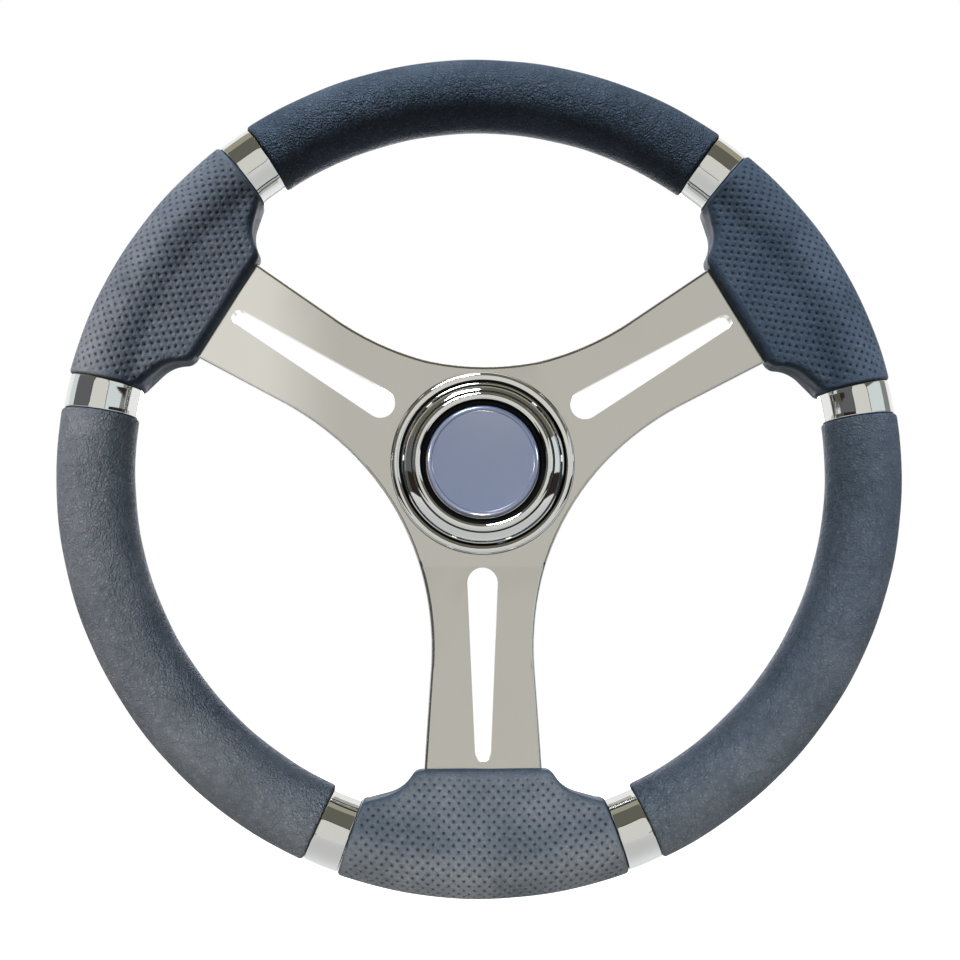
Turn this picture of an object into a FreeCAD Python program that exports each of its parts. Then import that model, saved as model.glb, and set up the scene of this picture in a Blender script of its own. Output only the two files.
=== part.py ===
import FreeCAD, Part
import os
import re
import Sketcher

# A three-spoke boat steering wheel, 350 mm across, for a 3/4 inch tapered helm shaft.
# The origin is the middle of the hub's back face, where the shaft enters.
# +Y points back along the shaft, -Y towards the driver, +Z up between the two upper spokes.

doc = FreeCAD.newDocument("BoatSteeringWheel")

# Driving sizes, in millimetres and degrees
SIZES = {
    "wheel_diameter": 350.0,
    "grip_diameter": 29.5,
    "grip_edge_rounding": 1.4,
    "rim_rod_diameter": 10.0,
    "dish_depth": 18.5,
    "collar_inset": 0.65,
    "collar_length": 13.0,
    "collar_wall": 2.0,
    "collar_end_wall": 2.0,
    "collar_edge_rounding": 0.5,
    "seam": 0.25,
    "pad_length": 106.8,
    "pad_reach": 33.2,
    "pad_side_margin": 0.5,
    "pad_wing_step": 2.25,
    "pad_edge_rounding": 3.0,
    "pad_shoulder_spare": 2.0,
    "pad_shoulder_angle": 58.5,
    "pad_scoop_angle": 15.0,
    "pad_scoop_run": 10.6,
    "plate_thickness": 4.0,
    "plate_waist_margin": 3.2,
    "plate_waist_arc": 120.0,
    "first_spoke_angle": 30.0,
    "spoke_half_width": 24.0,
    "spoke_bend_gap": 1.8,
    "spoke_bend_radius": 20.0,
    "plate_edge_rounding": 1.5,
    "slot_inner_gap": 5.5,
    "slot_inner_radius": 6.6,
    "slot_outer_gap": 2.6,
    "slot_outer_radius": 3.3,
    "boss_length": 40.0,
    "boss_flange_thickness": 5.0,
    "boss_weld_leg": 3.0,
    "boss_screw_gap": 1.85,
    "boss_neck_step": 3.0,
    "boss_tail_diameter": 36.0,
    "boss_tail_length": 12.0,
    "boss_chamfer": 1.5,
    "nut_pocket_diameter": 34.0,
    "nut_pocket_depth": 13.0,
    "bore_mouth_diameter": 19.05,
    "bore_taper_ratio": 12.0,
    "keyway_width": 4.76,
    "keyway_depth": 2.4,
    "bezel_base_width": 4.5,
    "bezel_base_height": 4.0,
    "bezel_base_rounding": 2.2,
    "bezel_cone_width": 4.7,
    "bezel_cone_bulge": 12.0,
    "bezel_groove_height": 3.0,
    "bezel_step_height": 6.4,
    "bezel_lip_width": 3.8,
    "bezel_lip_drop": 0.1,
    "bezel_lip_bulge": 2.4,
    "bezel_nick": 0.5,
    "seal_width": 2.6,
    "seal_seat_height": 1.8,
    "seal_height": 2.6,
    "cap_diameter": 49.2,
    "cap_height": 6.6,
    "cap_wall": 2.0,
    "cap_edge_rounding": 1.6,
    "cap_rim_width": 2.6,
    "cap_face_step": 0.5,
    "cap_clearance": 0.3,
    "screw_diameter": 4.0,
    "screw_clearance": 0.2,
    "screw_head_diameter": 7.6,
    "screw_head_height": 2.2,
    "screw_reach": 2.4,
    "screw_hole_spare": 0.5,
    "screw_hex_width": 2.5,
    "screw_hex_depth": 1.3,
}

sheet = doc.addObject("Spreadsheet::Sheet", "Sizes")
for row, (name, value) in enumerate(SIZES.items(), start=1):
    sheet.set(f"A{row}", name)
    sheet.set(f"B{row}", str(value))
    sheet.setAlias(f"B{row}", name)
doc.recompute()

# The spokes in order from +X towards +Z, and the grips, each half a sector past its spoke
SPOKES = ["right", "left", "bottom"]
GRIPS = ["top", "lower_left", "lower_right"]
SECTOR = 360 / len(SPOKES)
SPOKE_WAYS = {name: f"(first_spoke_angle + {SECTOR} * {index})" for index, name in enumerate(SPOKES)}
GRIP_WAYS = {name: f"({SPOKE_WAYS[spoke]} + {SECTOR} / 2)" for name, spoke in zip(GRIPS, SPOKES)}

# Sizes that follow from the driving ones, as formulas
DEGREES = "(180 / pi)"
RIM_RADIUS = "((wheel_diameter - grip_diameter) / 2)"
GRIP_RADIUS = "(grip_diameter / 2)"
ROD_RADIUS = "(rim_rod_diameter / 2)"
PLATE_BACK = "(0 - boss_length)"
PLATE_FRONT = f"({PLATE_BACK} - plate_thickness)"
RIM_PLANE = f"({PLATE_FRONT} - dish_depth)"
SEAM_TURN = f"(seam / {RIM_RADIUS} * {DEGREES})"
PAD_HALF_TURN = f"(pad_length / 2 / {RIM_RADIUS} * {DEGREES})"
COLLAR_TURN = f"(collar_length / {RIM_RADIUS} * {DEGREES})"
COLLAR_PLACE = f"({PAD_HALF_TURN} + {SEAM_TURN} + {COLLAR_TURN} / 2)"
GRIP_TURN = f"({SECTOR} - 2 * ({COLLAR_PLACE} + {COLLAR_TURN} / 2 + {SEAM_TURN}))"
NUT_SEAT = f"({PLATE_FRONT} + nut_pocket_depth)"
COLLAR_RADIUS = f"({GRIP_RADIUS} - collar_inset)"
CAP_WAY_RADIUS = "(cap_diameter / 2 + cap_clearance)"
LIP_RADIUS = f"({CAP_WAY_RADIUS} + seal_width)"
STEP_RADIUS = f"({LIP_RADIUS} + bezel_lip_width)"
GROOVE_RADIUS = f"({STEP_RADIUS} + bezel_cone_width)"
BEZEL_RADIUS = f"({GROOVE_RADIUS} + bezel_base_width)"
SPOKE_BEND = f"({BEZEL_RADIUS} + spoke_bend_gap)"
SPOKE_SLOPE = f"atan((dish_depth + plate_thickness / 2) / ({RIM_RADIUS} - {SPOKE_BEND}))"
WING_LEVEL = f"({GRIP_RADIUS} - pad_wing_step)"
PAD_EDGE = f"({RIM_RADIUS} - pad_reach * cos({SPOKE_SLOPE}) - plate_thickness / 2 * sin({SPOKE_SLOPE}))"
WAIST_RADIUS = f"({BEZEL_RADIUS} + plate_waist_margin)"
SCREW_PLACE = f"({STEP_RADIUS} + bezel_cone_width / 2)"
FLANGE_RADIUS = f"({SCREW_PLACE} - screw_head_diameter / 2 - boss_screw_gap - boss_weld_leg)"


def cell_name(word):
    """Gives the sheet's cell for a size's name, and leaves any other word as it is."""
    return f"Sizes.{word}" if word in SIZES else word


def cells(formula):
    """Gives a formula in which each size's name is written as its cell of the sheet."""
    return re.sub(r"[a-z_]+", lambda found: cell_name(found.group()), str(formula))


def worked_out(formula):
    """Gives the value that a formula has now, as a plain number."""
    value = sheet.evalExpression(cells(formula))
    return float(getattr(value, "Value", value))


def bind(feature, **formulas):
    """Ties properties of a feature to formulas over the sheet."""
    for property_name, formula in formulas.items():
        feature.setExpression(property_name, cells(formula))


def new_body(name):
    """Makes an empty body."""
    body = doc.addObject("PartDesign::Body", name)
    body.Label = name
    return body


def turn(piece, formula):
    """Turns a piece about the wheel's axis, from +X towards +Z, by an angle in degrees."""
    towards_z = FreeCAD.Rotation(FreeCAD.Vector(0, -1, 0), 1.0)
    piece.Placement = FreeCAD.Placement(FreeCAD.Vector(), towards_z)
    bind(piece, **{"Placement.Rotation.Angle": f"({formula}) * 1 deg"})


def origin_part(body, role):
    """Finds a plane or an axis of a body's own origin by its role."""
    return next(part for part in body.Origin.OriginFeatures if part.Role == role)


def new_sketch(body, name, role="XY_Plane", offset="0"):
    """Attaches an empty sketch to an origin plane of the body, moved along the plane's normal."""
    sketch = body.newObject("Sketcher::SketchObject", name)
    sketch.AttachmentSupport = [(origin_part(body, role), "")]
    sketch.MapMode = "FlatFace"
    bind(sketch, **{"AttachmentOffset.Base.z": offset})
    return sketch


def hold(sketch, kind, *geometry, formula):
    """Adds a constraint whose value follows a formula."""
    index = sketch.addConstraint(Sketcher.Constraint(kind, *geometry, worked_out(formula)))
    sketch.setExpression(f"Constraints[{index}]", cells(formula))


def draw_circle(sketch, across, up, radius):
    """Draws a circle whose centre and radius follow formulas."""
    centre = FreeCAD.Vector(worked_out(across), worked_out(up), 0)
    circle = sketch.addGeometry(Part.Circle(centre, FreeCAD.Vector(0, 0, 1), worked_out(radius)))
    hold(sketch, "DistanceX", circle, 3, formula=across)
    hold(sketch, "DistanceY", circle, 3, formula=up)
    hold(sketch, "Radius", circle, formula=radius)
    return circle


def arc_between(start, end, radius):
    """Makes the shorter arc from start to end that turns to the left, of the given radius."""
    chord = end - start
    left = FreeCAD.Vector(-chord.y, chord.x, 0).normalize()
    rise = max(radius ** 2 - (chord.Length / 2) ** 2, 0.0) ** 0.5
    crown = (start + end) * 0.5 - left * (radius - rise)
    return Part.Arc(start, crown, end)


def draw_outline(sketch, corners):
    """Draws a closed outline whose corners follow formulas.

    A corner is (across, up). A third value makes an arc to the next corner, of that radius:
    "left" or "right" in front of it says to which side the arc turns.
    """
    count = len(corners)
    places = [FreeCAD.Vector(worked_out(corner[0]), worked_out(corner[1]), 0) for corner in corners]
    first_ends = []
    last_ends = []
    for index, corner in enumerate(corners):
        start = places[index]
        end = places[(index + 1) % count]
        if len(corner) == 2:
            edge = sketch.addGeometry(Part.LineSegment(start, end))
            first_ends.append((edge, 1))
            last_ends.append((edge, 2))
            continue
        side, radius = corner[2]
        if side == "left":
            edge = sketch.addGeometry(arc_between(start, end, worked_out(radius)))
        else:
            edge = sketch.addGeometry(arc_between(end, start, worked_out(radius)))
        arc_ends = sketch.Geometry[edge]
        begins_here = (arc_ends.StartPoint - start).Length < (arc_ends.EndPoint - start).Length
        first_ends.append((edge, 1 if begins_here else 2))
        last_ends.append((edge, 2 if begins_here else 1))
        hold(sketch, "Radius", edge, formula=radius)
    for index, corner in enumerate(corners):
        sketch.addConstraint(Sketcher.Constraint("Coincident", *last_ends[index - 1], *first_ends[index]))
        hold(sketch, "DistanceX", *first_ends[index], formula=corner[0])
        hold(sketch, "DistanceY", *first_ends[index], formula=corner[1])


def revolve(body, sketch, name, angle="360", cut=False):
    """Turns a sketch about the wheel's axis, half of the angle to each side of its plane."""
    feature = body.newObject("PartDesign::Groove" if cut else "PartDesign::Revolution", name)
    feature.Profile = sketch
    feature.ReferenceAxis = (sketch, ["V_Axis"])
    feature.Midplane = True
    bind(feature, Angle=angle)
    body.Tip = feature
    return feature


def cut_through(body, name, corners):
    """Cuts an outline, seen along the wheel's axis, through the whole piece."""
    sketch = new_sketch(body, f"{name}_outline", "XZ_Plane")
    draw_outline(sketch, corners)
    return pocket(body, sketch, name)


def cut_hole(body, name, across, radius):
    """Cuts a round hole along the wheel's axis, through the whole piece."""
    sketch = new_sketch(body, f"{name}_outline", "XZ_Plane")
    draw_circle(sketch, across, "0", radius)
    return pocket(body, sketch, name)


def pocket(body, sketch, name, depth=None):
    """Cuts a sketch's shape to both sides of its plane: right through, or to a depth."""
    feature = body.newObject("PartDesign::Pocket", name)
    feature.Profile = sketch
    feature.Midplane = True
    if depth is None:
        feature.Type = "ThroughAll"
    else:
        bind(feature, Length=f"2 * ({depth})")
    body.Tip = feature
    return feature


def repeat_round_axis(body, feature, name):
    """Repeats a feature at each spoke, round the wheel's axis."""
    pattern = body.newObject("PartDesign::PolarPattern", name)
    pattern.Originals = [feature]
    pattern.Axis = (origin_part(body, "Y_Axis"), [""])
    pattern.Angle = 360
    pattern.Occurrences = len(SPOKES)
    body.Tip = pattern
    return pattern


def round_edges(body, base, name, radius, chosen):
    """Rounds the edges of a feature that the function chosen picks from its shape."""
    doc.recompute()
    edges = base.Shape.Edges
    names = [f"Edge{index}" for index, edge in enumerate(edges, start=1) if chosen(edge, base.Shape)]
    fillet = body.newObject("PartDesign::Fillet", name)
    fillet.Base = (base, names)
    bind(fillet, Radius=radius)
    body.Tip = fillet
    return fillet


def middle_of(edge):
    """Gives the point half way along an edge."""
    return edge.valueAt((edge.FirstParameter + edge.LastParameter) / 2)


def from_axis(point):
    """Gives a point's distance from the wheel's axis."""
    return (point.x ** 2 + point.z ** 2) ** 0.5


def is_near(value, formula, margin=0.005):
    """Says whether a number is what a formula gives, within a margin."""
    return abs(value - worked_out(formula)) < margin


# Rim


def rim_rod():
    """The steel rod inside the rim, bent to a ring and welded to the three spokes."""
    body = new_body("rim_rod")
    section = new_sketch(body, "rim_rod_section")
    draw_circle(section, RIM_RADIUS, RIM_PLANE, ROD_RADIUS)
    revolve(body, section, "rim_rod_ring")
    return body


def plain_grip(name, direction):
    """A moulded grip between two spokes: a tube round the rod with rolled ends."""
    body = new_body(name)
    section = new_sketch(body, f"{name}_section")
    draw_circle(section, RIM_RADIUS, RIM_PLANE, GRIP_RADIUS)
    draw_circle(section, RIM_RADIUS, RIM_PLANE, ROD_RADIUS)
    tube = revolve(body, section, f"{name}_tube", GRIP_TURN)
    round_edges(body, tube, f"{name}_rolled_ends", "grip_edge_rounding", is_grip_end)
    turn(body, direction)
    return body


def is_grip_end(edge, shape):
    """Picks the outer circles at the ends of a grip's tube."""
    is_circle = isinstance(edge.Curve, Part.Circle)
    return is_circle and is_near(edge.Curve.Radius, GRIP_RADIUS)


def half_ring(sketch, outer, inner, side):
    """Draws half of the rim's ring section, on the driver's side (front) or the other (back)."""
    outward, inward, sign = ("right", "left", "-") if side == "front" else ("left", "right", "+")
    draw_outline(sketch, [
        (f"{RIM_RADIUS} + {outer}", RIM_PLANE, (outward, outer)),
        (RIM_RADIUS, f"{RIM_PLANE} {sign} {outer}", (outward, outer)),
        (f"{RIM_RADIUS} - {outer}", RIM_PLANE),
        (f"{RIM_RADIUS} - {inner}", RIM_PLANE, (inward, inner)),
        (RIM_RADIUS, f"{RIM_PLANE} {sign} {inner}", (inward, inner)),
        (f"{RIM_RADIUS} + {inner}", RIM_PLANE),
    ])


def collar_half(name, direction, side):
    """Half of a chromed collar, which closes over the rod and meets its other half."""
    body = new_body(name)
    section = new_sketch(body, f"{name}_section")
    half_ring(section, COLLAR_RADIUS, ROD_RADIUS, side)
    block = revolve(body, section, f"{name}_block", COLLAR_TURN)
    rounded = round_edges(body, block, f"{name}_edges", "collar_edge_rounding", is_collar_end)
    hollow = new_sketch(body, f"{name}_hollow_section")
    half_ring(hollow, f"({COLLAR_RADIUS} - collar_wall)", ROD_RADIUS, side)
    end_turn = f"(collar_end_wall / {RIM_RADIUS} * {DEGREES})"
    revolve(body, hollow, f"{name}_hollow", f"{COLLAR_TURN} - 2 * {end_turn}", cut=True)
    turn(body, direction)
    return body


def is_collar_end(edge, shape):
    """Picks the outer half circles at the ends of a collar."""
    is_circle = isinstance(edge.Curve, Part.Circle)
    return is_circle and is_near(edge.Curve.Radius, COLLAR_RADIUS)


def pad_outline():
    """Works out the pad's outline beside its spoke, which runs along +X, on the spoke's slope.

    A straight edge faces the hub. A round shoulder and a thumb scoop follow, and a straight run
    leads to the pad's end. The scoop's radius is the one that fits the room between them. The
    outline runs on past the pad's end, where the wing is cut off square to the rim.
    """
    edge = f"({RIM_RADIUS} - pad_reach)"
    half = "(spoke_half_width + pad_side_margin)"
    shoulder = "(pad_edge_rounding + pad_shoulder_spare)"
    turned = "(pad_shoulder_angle * 1 deg)"
    leaving = "(pad_scoop_angle * 1 deg)"
    end = f"({PAD_HALF_TURN} * 1 deg)"
    beyond = f"(({PAD_HALF_TURN} + {COLLAR_TURN}) * 1 deg)"
    shoulder_x = f"({edge} + {shoulder} * (1 - cos{turned}))"
    shoulder_y = f"({half} + {shoulder} * sin{turned})"
    run_x = f"(pad_scoop_run * sin{leaving})"
    run_y = f"(pad_scoop_run * cos{leaving})"
    across = f"(cos{leaving} - cos{turned})"
    beside = f"(sin{turned} - sin{leaving})"
    left_over = f"(({shoulder_x} + {run_x}) * tan{end} - {shoulder_y} - {run_y})"
    scoop = f"({left_over} / ({beside} - {across} * tan{end}))"
    scoop_x = f"({shoulder_x} + {scoop} * {across})"
    scoop_y = f"({shoulder_y} + {scoop} * {beside})"
    end_x = f"({scoop_x} + 2 * {run_x})"
    end_y = f"({scoop_y} + 2 * {run_y})"
    rim_x = f"({RIM_RADIUS} * cos{beyond})"
    rim_y = f"({RIM_RADIUS} * sin{beyond})"
    return [
        (edge, f"0 - {half}"),
        (edge, half, ("right", shoulder)),
        (shoulder_x, shoulder_y, ("left", scoop)),
        (scoop_x, scoop_y),
        (end_x, end_y),
        (rim_x, rim_y, ("right", RIM_RADIUS)),
        (rim_x, f"0 - {rim_y}"),
        (end_x, f"0 - {end_y}"),
        (scoop_x, f"0 - {scoop_y}", ("left", scoop)),
        (shoulder_x, f"0 - {shoulder_y}", ("right", shoulder)),
    ]


def pad_blank(name, direction):
    """The pad before its spoke is let in: the rim's tube with a flat wing on the spoke's slope."""
    body = new_body(name)
    outline = new_sketch(body, f"{name}_outline", "XZ_Plane")
    lay_on_slope(outline)
    draw_outline(outline, pad_outline())
    wing = body.newObject("PartDesign::Pad", f"{name}_wing")
    wing.Profile = outline
    wing.Midplane = True
    bind(wing, Length=f"2 * {WING_LEVEL}")
    body.Tip = wing
    round_edges(body, wing, f"{name}_wing_edges", "pad_edge_rounding", is_wing_edge)
    far_x = f"wheel_diameter * cos({PAD_HALF_TURN} * 1 deg)"
    far_y = f"wheel_diameter * sin({PAD_HALF_TURN} * 1 deg)"
    cut_through(body, f"{name}_end_a", [("0", "0"), (far_x, far_y), ("0", "wheel_diameter")])
    cut_through(body, f"{name}_end_b", [("0", "0"), (far_x, f"0 - {far_y}"), ("0", "0 - wheel_diameter")])
    section = new_sketch(body, f"{name}_section")
    draw_circle(section, RIM_RADIUS, RIM_PLANE, GRIP_RADIUS)
    revolve(body, section, f"{name}_tube", f"2 * {PAD_HALF_TURN}")
    rod = new_sketch(body, f"{name}_rod_section")
    draw_circle(rod, RIM_RADIUS, RIM_PLANE, ROD_RADIUS)
    revolve(body, rod, f"{name}_rod_way", cut=True)
    turn(body, direction)
    return body


def lay_on_slope(sketch):
    """Tilts a sketch to the spoke's slope, about the middle of the rod at the spoke's end."""
    towards_driver = FreeCAD.Rotation(FreeCAD.Vector(0, -1, 0), 1.0)
    sketch.AttachmentOffset = FreeCAD.Placement(FreeCAD.Vector(), towards_driver)
    tilt = {
        "AttachmentOffset.Rotation.Angle": SPOKE_SLOPE,
        "AttachmentOffset.Base.x": f"{RIM_RADIUS} * (1 - cos({SPOKE_SLOPE}))",
        "AttachmentOffset.Base.z": f"0 - {RIM_PLANE} - {RIM_RADIUS} * sin({SPOKE_SLOPE})",
    }
    bind(sketch, **tilt)


def is_wing_edge(edge, shape):
    """Picks the edges that run round the wing's inner outline, on its front and back faces."""
    middle = middle_of(edge)
    along = (middle.x - worked_out(RIM_RADIUS)) * worked_out(f"sin({SPOKE_SLOPE})")
    above = (middle.y - worked_out(RIM_PLANE)) * worked_out(f"cos({SPOKE_SLOPE})")
    is_inner = from_axis(middle) < worked_out(f"{RIM_RADIUS} - {GRIP_RADIUS} / 2")
    return is_inner and is_near(abs(along + above), WING_LEVEL)


def spoke_pad(name, direction, plate):
    """A moulded pad over the end of a spoke, which fills the space round rod and spoke."""
    pad = doc.addObject("Part::Cut", name)
    pad.Label = name
    pad.Base = pad_blank(f"{name}_blank", direction)
    pad.Tool = plate
    return pad


# Spokes


def arm_profile():
    """Works out the side view of one spoke and the hub's flat: across is the distance out.

    The flat turns up towards the driver in a round bend, and runs straight to the rim's rod,
    with the slope that brings it to the middle of the rod.
    """
    slope = f"({SPOKE_SLOPE})"
    outer = "(spoke_bend_radius + plate_thickness)"
    front_x = f"({SPOKE_BEND} + spoke_bend_radius * sin{slope})"
    front_y = f"({PLATE_FRONT} - spoke_bend_radius * (1 - cos{slope}))"
    back_x = f"({SPOKE_BEND} + {outer} * sin{slope})"
    back_y = f"({PLATE_BACK} - {outer} * (1 - cos{slope}))"
    return [
        ("0", PLATE_FRONT),
        (SPOKE_BEND, PLATE_FRONT, ("right", "spoke_bend_radius")),
        (front_x, front_y),
        (RIM_RADIUS, f"{front_y} - ({RIM_RADIUS} - {front_x}) * tan{slope}"),
        (RIM_RADIUS, f"{back_y} - ({RIM_RADIUS} - {back_x}) * tan{slope}"),
        (back_x, back_y, ("left", outer)),
        (SPOKE_BEND, PLATE_BACK),
        ("0", PLATE_BACK),
    ]


def window_outline():
    """Works out the opening between two spokes, whose middle line runs along -X.

    A large arc rounds the waist at the hub. A straight side leaves it at a tangent, gives the
    spoke its half width where the pad's edge crosses it, and runs on beyond the rim.
    """
    lean = f"({SECTOR / 2} * 1 deg)"
    centre = f"({WAIST_RADIUS} + plate_waist_arc)"
    side = f"({PAD_EDGE} * cos{lean} + spoke_half_width * sin{lean})"
    side_up = f"({PAD_EDGE} * sin{lean} - spoke_half_width * cos{lean})"
    reach = f"sqrt(({side} - {centre})^2 + {side_up}^2)"
    unit = f"(({side} - {centre}) / {reach})"
    unit_up = f"({side_up} / {reach})"
    along = f"(plate_waist_arc^2 / {reach})"
    beside = f"(plate_waist_arc * sqrt(1 - (plate_waist_arc / {reach})^2))"
    touch = f"({centre} + {unit} * {along} - {unit_up} * {beside})"
    touch_up = f"({unit_up} * {along} + {unit} * {beside})"
    beyond = "(wheel_diameter / 2)"
    beyond_up = f"({touch_up} + ({beyond} - {touch}) * ({side_up} - {touch_up}) / ({side} - {touch}))"
    return [
        (f"0 - {touch}", f"0 - {touch_up}", ("left", "plate_waist_arc")),
        (f"0 - {touch}", touch_up),
        (f"0 - {beyond}", beyond_up),
        (f"0 - {beyond}", f"0 - {beyond_up}"),
    ]


def slot_outline():
    """Works out a spoke's tapered slot: two round ends joined by the lines that touch both."""
    inner = f"({BEZEL_RADIUS} + slot_inner_gap + slot_inner_radius)"
    outer = f"({PAD_EDGE} - slot_outer_gap - slot_outer_radius)"
    lean = f"(asin((slot_inner_radius - slot_outer_radius) / ({outer} - {inner})))"
    inner_x = f"({inner} + slot_inner_radius * sin{lean})"
    inner_y = f"(slot_inner_radius * cos{lean})"
    outer_x = f"({outer} + slot_outer_radius * sin{lean})"
    outer_y = f"(slot_outer_radius * cos{lean})"
    return [
        (inner_x, inner_y, ("left", "slot_inner_radius")),
        (f"{inner} - slot_inner_radius", "0", ("left", "slot_inner_radius")),
        (inner_x, f"0 - {inner_y}"),
        (outer_x, f"0 - {outer_y}", ("left", "slot_outer_radius")),
        (f"{outer} + slot_outer_radius", "0", ("left", "slot_outer_radius")),
        (outer_x, outer_y),
    ]


def spoke_plate():
    """The polished plate: hub and three dished spokes in one piece, cut out and bent."""
    body = new_body("spoke_plate")
    profile = new_sketch(body, "arm_profile")
    draw_outline(profile, arm_profile())
    arm = body.newObject("PartDesign::Pad", "arm")
    arm.Profile = profile
    arm.Midplane = True
    bind(arm, Length=f"2 * {WAIST_RADIUS}")
    repeat_round_axis(body, arm, "arms")
    windows = repeat_round_axis(body, cut_through(body, "window", window_outline()), "windows")
    round_edges(body, windows, "plate_edges", "plate_edge_rounding", is_plate_edge)
    repeat_round_axis(body, cut_through(body, "slot", slot_outline()), "slots")
    screw_way = cut_hole(body, "screw_way", SCREW_PLACE, "screw_diameter / 2 + screw_clearance")
    repeat_round_axis(body, screw_way, "screw_ways")
    cut_hole(body, "hub_hole", "0", "nut_pocket_diameter / 2")
    seat = new_sketch(body, "rod_seat_section")
    draw_circle(seat, RIM_RADIUS, RIM_PLANE, ROD_RADIUS)
    revolve(body, seat, "rod_seat", cut=True)
    turn(body, "first_spoke_angle")
    return body


def is_plate_edge(edge, shape):
    """Picks the edges where the sides of the windows meet the plate's front and back."""
    ends = edge.Vertexes[0].Point - edge.Vertexes[-1].Point
    if is_near(from_axis(ends), 0):
        return False
    sides = [face for face in shape.Faces if is_window_side(face)]
    return sum(edge.isSame(other) for face in sides for other in face.Edges) == 1


def is_window_side(face):
    """Says whether a face of the plate stands along the wheel's axis, inside the rim's rod."""
    u_first, u_last, v_first, v_last = face.ParameterRange
    normal = face.normalAt((u_first + u_last) / 2, (v_first + v_last) / 2)
    is_spoke_end = is_near(from_axis(face.CenterOfMass), RIM_RADIUS, worked_out(ROD_RADIUS))
    return is_near(normal.y, 0) and not is_spoke_end


# Hub


def hub_boss():
    """The turned boss welded to the plate's back, with the tapered bore, key and nut pocket."""
    body = new_body("hub_boss")
    section = new_sketch(body, "boss_section")
    flange_back = f"({PLATE_BACK} + boss_flange_thickness)"
    draw_outline(section, [
        ("bore_mouth_diameter / 2", "0"),
        (f"bore_mouth_diameter / 2 + {NUT_SEAT} / bore_taper_ratio / 2", NUT_SEAT),
        ("nut_pocket_diameter / 2", NUT_SEAT),
        ("nut_pocket_diameter / 2", PLATE_BACK),
        (f"{FLANGE_RADIUS} + boss_weld_leg", PLATE_BACK, ("left", "boss_weld_leg * 1.5")),
        (FLANGE_RADIUS, f"{PLATE_BACK} + boss_weld_leg"),
        (FLANGE_RADIUS, flange_back),
        (f"{FLANGE_RADIUS} - boss_neck_step", flange_back),
        ("boss_tail_diameter / 2", "0 - boss_tail_length"),
        ("boss_tail_diameter / 2", "0 - boss_chamfer"),
        ("boss_tail_diameter / 2 - boss_chamfer", "0"),
    ])
    revolve(body, section, "boss_turning")
    cut_through(body, "keyway", [
        ("0 - keyway_width / 2", "0"),
        ("keyway_width / 2", "0"),
        ("keyway_width / 2", "bore_mouth_diameter / 2 + keyway_depth"),
        ("0 - keyway_width / 2", "bore_mouth_diameter / 2 + keyway_depth"),
    ])
    return body


def above_plate(height):
    """Gives the place of a height above the hub's front face, towards the driver."""
    return f"{PLATE_FRONT} - ({height})"


def hub_bezel():
    """The turned and chromed ring round the cap, screwed to the plate from behind."""
    body = new_body("hub_bezel")
    section = new_sketch(body, "bezel_section")
    base_top = above_plate("bezel_base_height")
    draw_outline(section, [
        (CAP_WAY_RADIUS, PLATE_FRONT),
        (CAP_WAY_RADIUS, above_plate("seal_seat_height")),
        (LIP_RADIUS, above_plate("seal_seat_height")),
        (LIP_RADIUS, above_plate("bezel_step_height - bezel_lip_drop"), ("left", "bezel_lip_bulge")),
        (f"{STEP_RADIUS} - bezel_nick", above_plate("bezel_step_height - bezel_nick")),
        (STEP_RADIUS, above_plate("bezel_step_height"), ("left", "bezel_cone_bulge")),
        (GROOVE_RADIUS, above_plate("bezel_groove_height")),
        (f"{BEZEL_RADIUS} - bezel_base_rounding", base_top, ("left", "bezel_base_rounding")),
        (BEZEL_RADIUS, above_plate("bezel_base_height - bezel_base_rounding")),
        (BEZEL_RADIUS, PLATE_FRONT),
    ])
    revolve(body, section, "bezel_turning")
    thread = new_sketch(body, "bezel_thread_outline", "XZ_Plane", f"0 - {PLATE_FRONT}")
    draw_circle(thread, SCREW_PLACE, "0", "screw_diameter / 2")
    hole = pocket(body, thread, "bezel_thread", "screw_reach + screw_hole_spare")
    repeat_round_axis(body, hole, "bezel_threads")
    turn(body, "first_spoke_angle")
    return body


def cap_seal():
    """The black rubber ring between bezel and cap, which grips the cap."""
    body = new_body("cap_seal")
    section = new_sketch(body, "seal_section")
    top = "seal_seat_height + seal_height"
    half = "seal_width / 2"
    draw_outline(section, [
        (CAP_WAY_RADIUS, above_plate("seal_seat_height")),
        (LIP_RADIUS, above_plate("seal_seat_height")),
        (LIP_RADIUS, above_plate(f"{top} - {half}"), ("right", half)),
        (f"{LIP_RADIUS} - {half}", above_plate(top), ("right", half)),
        (CAP_WAY_RADIUS, above_plate(f"{top} - {half}")),
    ])
    revolve(body, section, "seal_ring")
    return body


def centre_cap():
    """The hollow cap over the shaft's nut: a skirt, a rolled edge and a face let in a little."""
    body = new_body("centre_cap")
    section = new_sketch(body, "cap_section")
    edge = "cap_diameter / 2"
    face = "cap_height - cap_face_step"
    draw_outline(section, [
        ("0", above_plate(f"{face} - cap_wall")),
        (f"{edge} - cap_wall", above_plate(f"{face} - cap_wall")),
        (f"{edge} - cap_wall", PLATE_FRONT),
        (edge, PLATE_FRONT),
        (edge, above_plate("cap_height - cap_edge_rounding"), ("right", "cap_edge_rounding")),
        (f"{edge} - cap_edge_rounding", above_plate("cap_height")),
        (f"{edge} - cap_rim_width + cap_face_step", above_plate("cap_height")),
        (f"{edge} - cap_rim_width", above_plate(face)),
        ("0", above_plate(face)),
    ])
    revolve(body, section, "cap_moulding")
    return body


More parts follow.
